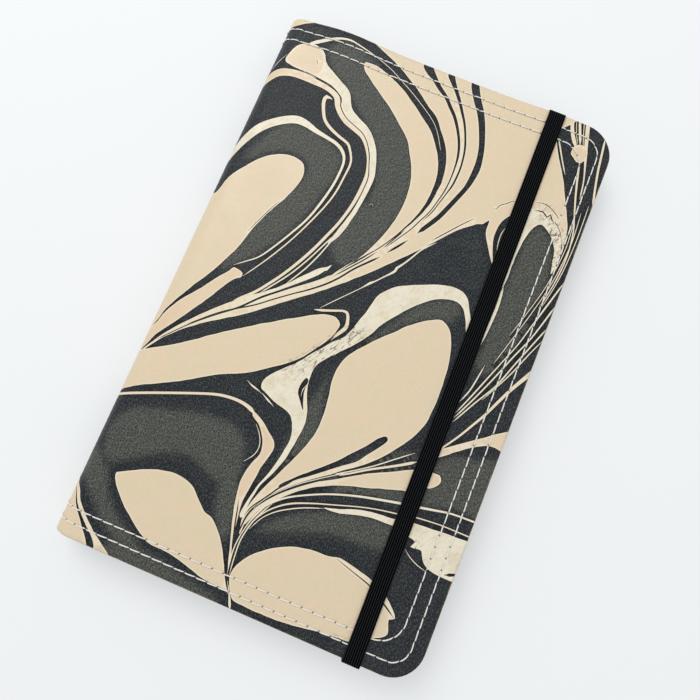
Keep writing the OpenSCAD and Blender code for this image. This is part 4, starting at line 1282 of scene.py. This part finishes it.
def sheet_place(n):
    """The place on the flat leather, in centimetres."""
    return n.add("ShaderNodeUVMap", {"uv_map": "sheet"}).outputs["UV"]


def object_place(n):
    """A place in centimetres, for a piece with no sheet of its own."""
    where = n.add("ShaderNodeTexCoord").outputs["Object"]
    scaled = n.add("ShaderNodeVectorMath", {"operation": "SCALE"}, Scale=100.0)
    n.put(scaled.inputs[0], where)
    return scaled.outputs[0]


def finish_with(n, shader, color, roughness, height, strength, distance):
    """Gives a material its colour, its roughness, and a relief with a strength and a depth."""
    n.put(shader.inputs["Base Color"], color)
    n.put(shader.inputs["Roughness"], roughness)
    relief = n.add("ShaderNodeBump", Height=height, Strength=strength, Distance=distance)
    n.put(shader.inputs["Normal"], relief.outputs["Normal"])


def slanted(n, place, degrees, stretch):
    """The place, turned and stretched so that a texture's spots become short strokes."""
    turned = n.add("ShaderNodeMapping", {"vector_type": "TEXTURE"}, Vector=place,
                   Rotation=(0, 0, math.radians(degrees)), Scale=(1.0, stretch, 1.0))
    return turned.outputs[0]


def crack_lines(n, place):
    """Fine broken lines that run across the strands."""
    cells = n.add("ShaderNodeTexVoronoi", {"feature": "DISTANCE_TO_EDGE"}, Scale=8.0,
                  Vector=slanted(n, place, -28, 4.5))
    line = n.ramp(cells.outputs["Distance"], 0.1, 0.01)
    return n.times(line, n.ramp(n.noise(place, 5.0, 3.0), 0.35, 0.6))


def dark_leather():
    """The dark print: blue-black along its borders, paler and olive away from them, with painted
    highlights on its pebbles and in short strokes.
    """
    material, n, shader = new_material("dark_print", 0.55, Specular_IOR_Level=0.22)
    place = sheet_place(n)
    grain = use_group(n, GRAIN, Place=place, Pebbles_per_cm=15.0)
    border = value_at(n, "border")
    drift = n.times(n.math("SUBTRACT", grain["Mottle"], 0.5), 0.6)
    depth = n.times(n.ramp(border, 0.4, 3.5), 0.14)
    olive = n.times(value_at(n, "olive"), 0.85)
    tone = n.math("ADD", n.math("ADD", olive, depth), drift)
    base = n.mix(n.ramp(tone, 0.0, 1.0), BLUE_BLACK, CHARCOAL)
    # painted highlights on the pebbles and in short grain strokes, dimmer where the print is
    # blue-black
    glint = n.mix(n.ramp(tone, 0.0, 0.8), PAINTED_GLINT_LOW, PAINTED_GLINT)
    painted_glints = n.ramp(grain["Pebble"], 0.3, 0.45)
    painted_glint_strokes = n.ramp(n.noise(slanted(n, place, 35, 2.4), 24.0, 3.0, 0.7), 0.5, 0.6)
    pores = n.ramp(n.noise(slanted(n, place, 60, 1.8), 26.0, 2.0), 0.47, 0.37)
    line = n.ramp(border, 0.5, 0.1)
    for mask, share, color in ((painted_glints, 0.38, glint), (painted_glint_strokes, 0.52, glint),
                               (pores, 0.95, BROWN_BLACK), (line, 0.85, BROWN_BLACK)):
        base = n.mix(n.times(mask, share), base, color)
    worn_and_hole_shaded = use_group(n, HOLE_SHADE_AND_WEAR, Color=base, Place=place)
    finish_with(n, shader, worn_and_hole_shaded["Color"], n.add_share(0.45, painted_glints, 0.25),
                grain["Height"], 0.5, 0.0002)
    return material


def light_leather(name, first, second, third, crackled=0.0):
    """Smooth leather in three near colours, pale along its borders, with crackled patches."""
    material, n, shader = new_material(name, 0.42, Specular_IOR_Level=0.35)
    place = sheet_place(n)
    grain = use_group(n, GRAIN, Place=place, Pebbles_per_cm=24.0)
    border = value_at(n, "border")
    warm = n.ramp(n.noise(place, 0.8, 2.0), 0.3, 0.7)
    cool = n.ramp(n.noise(place, 1.7, 3.0), 0.4, 0.8)
    base = n.mix(cool, n.mix(warm, first, second), third)
    soft = n.ramp(n.noise(place, 6.0, 3.0), 0.35, 0.75)
    freckles = n.ramp(n.noise(place, 14.0, 2.0), 0.68, 0.76)
    pits = n.ramp(grain["Pebble"], 0.3, 0.0)
    halo = n.ramp(border, 0.8, 0.15)
    for mask, share, color in ((soft, 0.09, RAW_EDGE), (freckles, 0.16, SUEDE),
                               (pits, 0.07, SUEDE), (halo, 0.5, BEIGE_PALE)):
        base = n.mix(n.times(mask, share), base, color)
    near_border = n.ramp(border, 2.0, 0.3)
    where = n.times(value_at(n, "crackle"), n.math("MAXIMUM", near_border, crackled))
    shown = n.add_share(0.12 * crackled, where, 0.8)
    base = n.mix(n.times(crack_lines(n, place), shown), base, HAIRLINE_AND_HOLE_SHADE_BROWN)
    worn_and_hole_shaded = use_group(n, HOLE_SHADE_AND_WEAR, Color=base, Place=place)
    finish_with(n, shader, worn_and_hole_shaded["Color"], n.add_share(0.36, warm, 0.12),
                grain["Height"], 0.16, 0.00015)
    return material


def pocket_leather():
    """Plain dark leather, with painted highlights on its pebbles."""
    material, n, shader = new_material("pocket_leather", 0.55, Specular_IOR_Level=0.35)
    grain = use_group(n, GRAIN, Place=sheet_place(n), Pebbles_per_cm=11.0)
    # painted highlights on the pebbles
    color = n.mix(n.times(grain["Pebble"], 0.35), POCKET_GREY, PAINTED_GLINT)
    finish_with(n, shader, color, n.add_share(0.45, grain["Mottle"], 0.2),
                grain["Height"], 0.6, 0.0003)
    return material


def fibrous(name, color, shade, threads, roughness, strength, distance, **shader_values):
    """A felted or woven surface, with threads to a centimetre and shade on its loose fibres."""
    material, n, shader = new_material(name, roughness, **shader_values)
    fibres = use_group(n, FIBRES, Place=object_place(n), Threads_per_cm=threads)
    finish_with(n, shader, n.mix(fibres["Fibre"], color, shade),
                n.add_share(roughness, fibres["Fibre"], 0.1), fibres["Height"], strength, distance)
    return material


def raw_leather(name, color, shade, roughness):
    """Cut or unfinished leather, with its felted fibres."""
    return fibrous(name, color, shade, 26.0, roughness, 0.5, 0.0002)


def woven(name, color, shade, threads, roughness):
    """Book cloth or a woven lining."""
    return fibrous(name, color, shade, threads, roughness, 0.4, 0.00015, Sheen_Weight=0.1)


def thread_material():
    """White thread: twisted strands, with a little grey painted shade in between."""
    material, n, shader = new_material("thread", 0.55, Sheen_Weight=0.2)
    place = sheet_place(n)
    u, v, _ = axes(n, place)
    twist = n.math("SINE", n.times(n.math("ADD", u, v), 95.0))
    fuzz = n.noise(place, 40.0, 2.0)
    # painted shade between the twisted strands
    shade = n.times(n.add_share(0.15, twist, 0.12), fuzz)
    finish_with(n, shader, n.mix(shade, THREAD_WHITE, SUEDE), n.add_share(0.5, fuzz, 0.15),
                twist, 0.4, 0.00008)
    return material


def elastic_material():
    """Black elastic: lengthwise ribs with painted highlights on their crests and darker valleys, a
    fine cross knit and some lint.
    """
    material, n, shader = new_material("elastic", 0.95, Specular_IOR_Level=0.02)
    place = sheet_place(n)
    across, along, _ = axes(n, place)
    ribs = n.math("COSINE", n.times(across, RIB_TURN))
    knit = n.math("SINE", n.times(along, 75.0))
    lint = n.ramp(n.noise(place, 30.0, 3.0), 0.55, 0.7)
    # painted highlights on the rib crests, stronger where there is lint
    crest = n.times(n.ramp(ribs, 0.35, 0.95), n.add_share(0.5, lint, 0.4))
    color = n.mix(n.times(crest, 0.45), ELASTIC_BLACK, ELASTIC_LINT_AND_HIGHLIGHT)
    height = n.add_share(n.times(ribs, 0.6), knit, 0.4)
    finish_with(n, shader, color, n.add_share(0.75, lint, 0.2), height, 0.6, 0.00012)
    return material


def paper_material():
    """Page edges: fine lines up the block and a soft warm drift."""
    material, n, shader = new_material("paper", 0.85)
    place = object_place(n)
    sheets = n.math("SINE", n.times(axes(n, place)[2], 420.0))
    drift = n.noise(place, 1.4, 2.0)
    shade = n.times(n.add_share(drift, sheets, 0.2), 0.35)
    finish_with(n, shader, n.mix(shade, PAPER, RAW_EDGE), n.add_share(0.8, drift, 0.1),
                sheets, 0.3, 0.00005)
    return material


# The pieces put together

DARK = dark_leather()
BEIGE_FINISH = light_leather("beige_leather", BEIGE, BEIGE_WARM, BEIGE_COOL)
ROSE_FINISH = light_leather("rose_print", ROSE, BEIGE_WARM, BEIGE)
CREAM_FINISH = light_leather("cream_print", CREAM, CREAM, CREAM_SHADE, crackled=1.0)
CUT_FINISH = raw_leather("cut_edge", RAW_EDGE, SUEDE, 0.75)
SUEDE_FINISH = raw_leather("suede", SUEDE, RAW_EDGE, 0.85)
THREAD = thread_material()
ELASTIC = elastic_material()
POCKET_FINISH = pocket_leather()
PAPER_FINISH = paper_material()
# in the order of DARK_PRINT to UNDERSIDE
LEATHER_FINISHES = [DARK, BEIGE_FINISH, ROSE_FINISH, CREAM_FINISH, CUT_FINISH, SUEDE_FINISH]

# how deep a stitch would lie at the very fold: its height and a little room
FOLD_SINK = 0.48


def on_face(u, v):
    """A stitch's seat; by the fold it sinks until both covers' threads fit back to back."""
    return min(0, (u - FOLD_U) ** 2 / (2 * SPINE_R) - FOLD_SINK)


def sew_cover(side, back):
    """Both rows of stitches, as they show outside and inside a cover."""
    for row, path in (("outer", OUTER_PATH), ("inner", INNER_PATH)):
        thread = stitches(f"{side}_{row}_thread", path, on_face, THREAD, back)
        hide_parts(f"{side}_{row}_stitches")
        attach(thread, f"{side}_cover")
        within = stitches(f"{side}_{row}_thread_inside", path, pocket_lift, THREAD, back,
                          flip=True)
        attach(within, f"{side}_cover")


def build_covers():
    """Both covers: their leather, stitches and pockets."""
    sheet_top = marbled_sheet()
    for side, back in (("front", False), ("back", True)):
        leather = cover_half(f"{side}_marbled_leather", sheet_top, LEATHER_FINISHES, back)
        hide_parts(f"{side}_leather")
        if not back:
            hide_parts("front_dark_ink", "front_olive_ink", "front_cream_ink")
        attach(leather, f"{side}_cover")
        sew_cover(side, back)
        flap = pocket_flap(f"{side}_pocket_flap", POCKET_FINISH, back)
        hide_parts(f"{side}_pocket")
        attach(flap, f"{side}_cover")


def build_elastic():
    """The elastic and its two sewn ends."""
    band = strap("elastic_strap", elastic_line(), elastic_x, ELASTIC)
    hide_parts("elastic_band")
    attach(band, "elastic")
    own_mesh(band)
    for side, end in ((1, "head"), (-1, "tail")):
        tab = strap(f"elastic_tab_{end}", tab_line(side), elastic_x, ELASTIC)
        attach(tab, "back_cover")
        if side > 0:
            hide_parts("elastic_ends")


def build_insert():
    """The pages, and the finishes of the boards, the linings and the endpapers."""
    block = leaves("page_block", PAPER_FINISH)
    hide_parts("text_block")
    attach(block, "book_block")
    cloth = woven("board_cloth", BOARD_BLACK, BOARD_WORN, 22.0, 0.65)
    lining = woven("lining", LINING_GREY, LINING_PALE, 14.0, 0.75)
    endpaper = woven("endpaper", PAPER, PAPER_SHADE, 30.0, 0.8)
    finishes = {"insert_front_board": cloth, "insert_back_board": cloth, "insert_spine": cloth,
                "front_lining": lining, "back_lining": lining,
                "front_endpaper": endpaper, "back_endpaper": endpaper}
    for node, finish in finishes.items():
        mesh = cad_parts[node].data
        mesh.materials.clear()
        mesh.materials.append(finish)


# Floor, light and camera

FLOOR_HALF = 3.0
ROOM_STRENGTH = 0.66
# lamps, as (name, place, size, power); each faces the notebook's middle
LAMPS = [("window", (-0.45, 0.5, 0.85), 0.6, 5.4), ("fill", (0.6, -0.5, 0.9), 0.9, 1.4)]
CAMERA_PLACE = (0.01471, -0.03423, 0.22935)
CAMERA_TURN = (7.220, -0.227, 22.543)
CAMERA_LENS = 27.54
CAMERA_SENSOR = 36.0


def floor_material():
    """A pale floor that keeps a shadow and looks paler still to the camera."""
    material, n, shader = new_material("floor", 0.9, Specular_IOR_Level=0.1)
    path = n.add("ShaderNodeLightPath")
    seen = path.outputs["Is Camera Ray"]
    for ray in ("Is Glossy Ray", "Is Transmission Ray"):
        seen = n.math("MAXIMUM", seen, path.outputs[ray])
    n.put(shader.inputs["Base Color"], n.mix(seen, FLOOR_GREY, FLOOR_SEEN))
    shader.inputs["Emission Color"].default_value = FLOOR_LIGHT
    n.put(shader.inputs["Emission Strength"], n.times(seen, FLOOR_GLOW))
    return material


def build_stage():
    """A pale floor in an evenly lit room, with two lamps."""
    corners = [(x * FLOOR_HALF, y * FLOOR_HALF, 0) for x, y in ((-1, -1), (1, -1), (1, 1), (-1, 1))]
    mesh = bpy.data.meshes.new("floor")
    mesh.from_pydata(corners, [], [(0, 1, 2, 3)])
    mesh.materials.append(floor_material())
    floor = bpy.data.objects.new("floor", mesh)
    bpy.context.scene.collection.objects.link(floor)
    world = bpy.data.worlds.new("room")
    bpy.context.scene.world = world
    world.use_nodes = True
    background = world.node_tree.nodes["Background"]
    background.inputs["Color"].default_value = ROOM_LIGHT
    background.inputs["Strength"].default_value = ROOM_STRENGTH
    for lamp in LAMPS:
        add_lamp(*lamp)


def add_lamp(name, place, size, power):
    """A square lamp that faces the notebook."""
    lamp = bpy.data.lights.new(name, "AREA")
    lamp.size = size
    lamp.energy = power
    holder = bpy.data.objects.new(name, lamp)
    bpy.context.scene.collection.objects.link(holder)
    holder.location = place
    holder.rotation_euler = (-Vector(place)).to_track_quat("-Z", "Y").to_euler()


def build_camera():
    """The camera above the notebook, turned a little against it."""
    camera = bpy.data.cameras.new("camera")
    camera.sensor_width = CAMERA_SENSOR
    camera.lens = CAMERA_LENS
    camera.clip_start = 0.01
    holder = bpy.data.objects.new("camera", camera)
    bpy.context.scene.collection.objects.link(holder)
    holder.location = CAMERA_PLACE
    holder.rotation_euler = tuple(math.radians(a) for a in CAMERA_TURN)
    bpy.context.scene.camera = holder


build_covers()
build_elastic()
build_insert()
build_stage()
build_camera()
bpy.context.scene.view_settings.view_transform = "Standard"
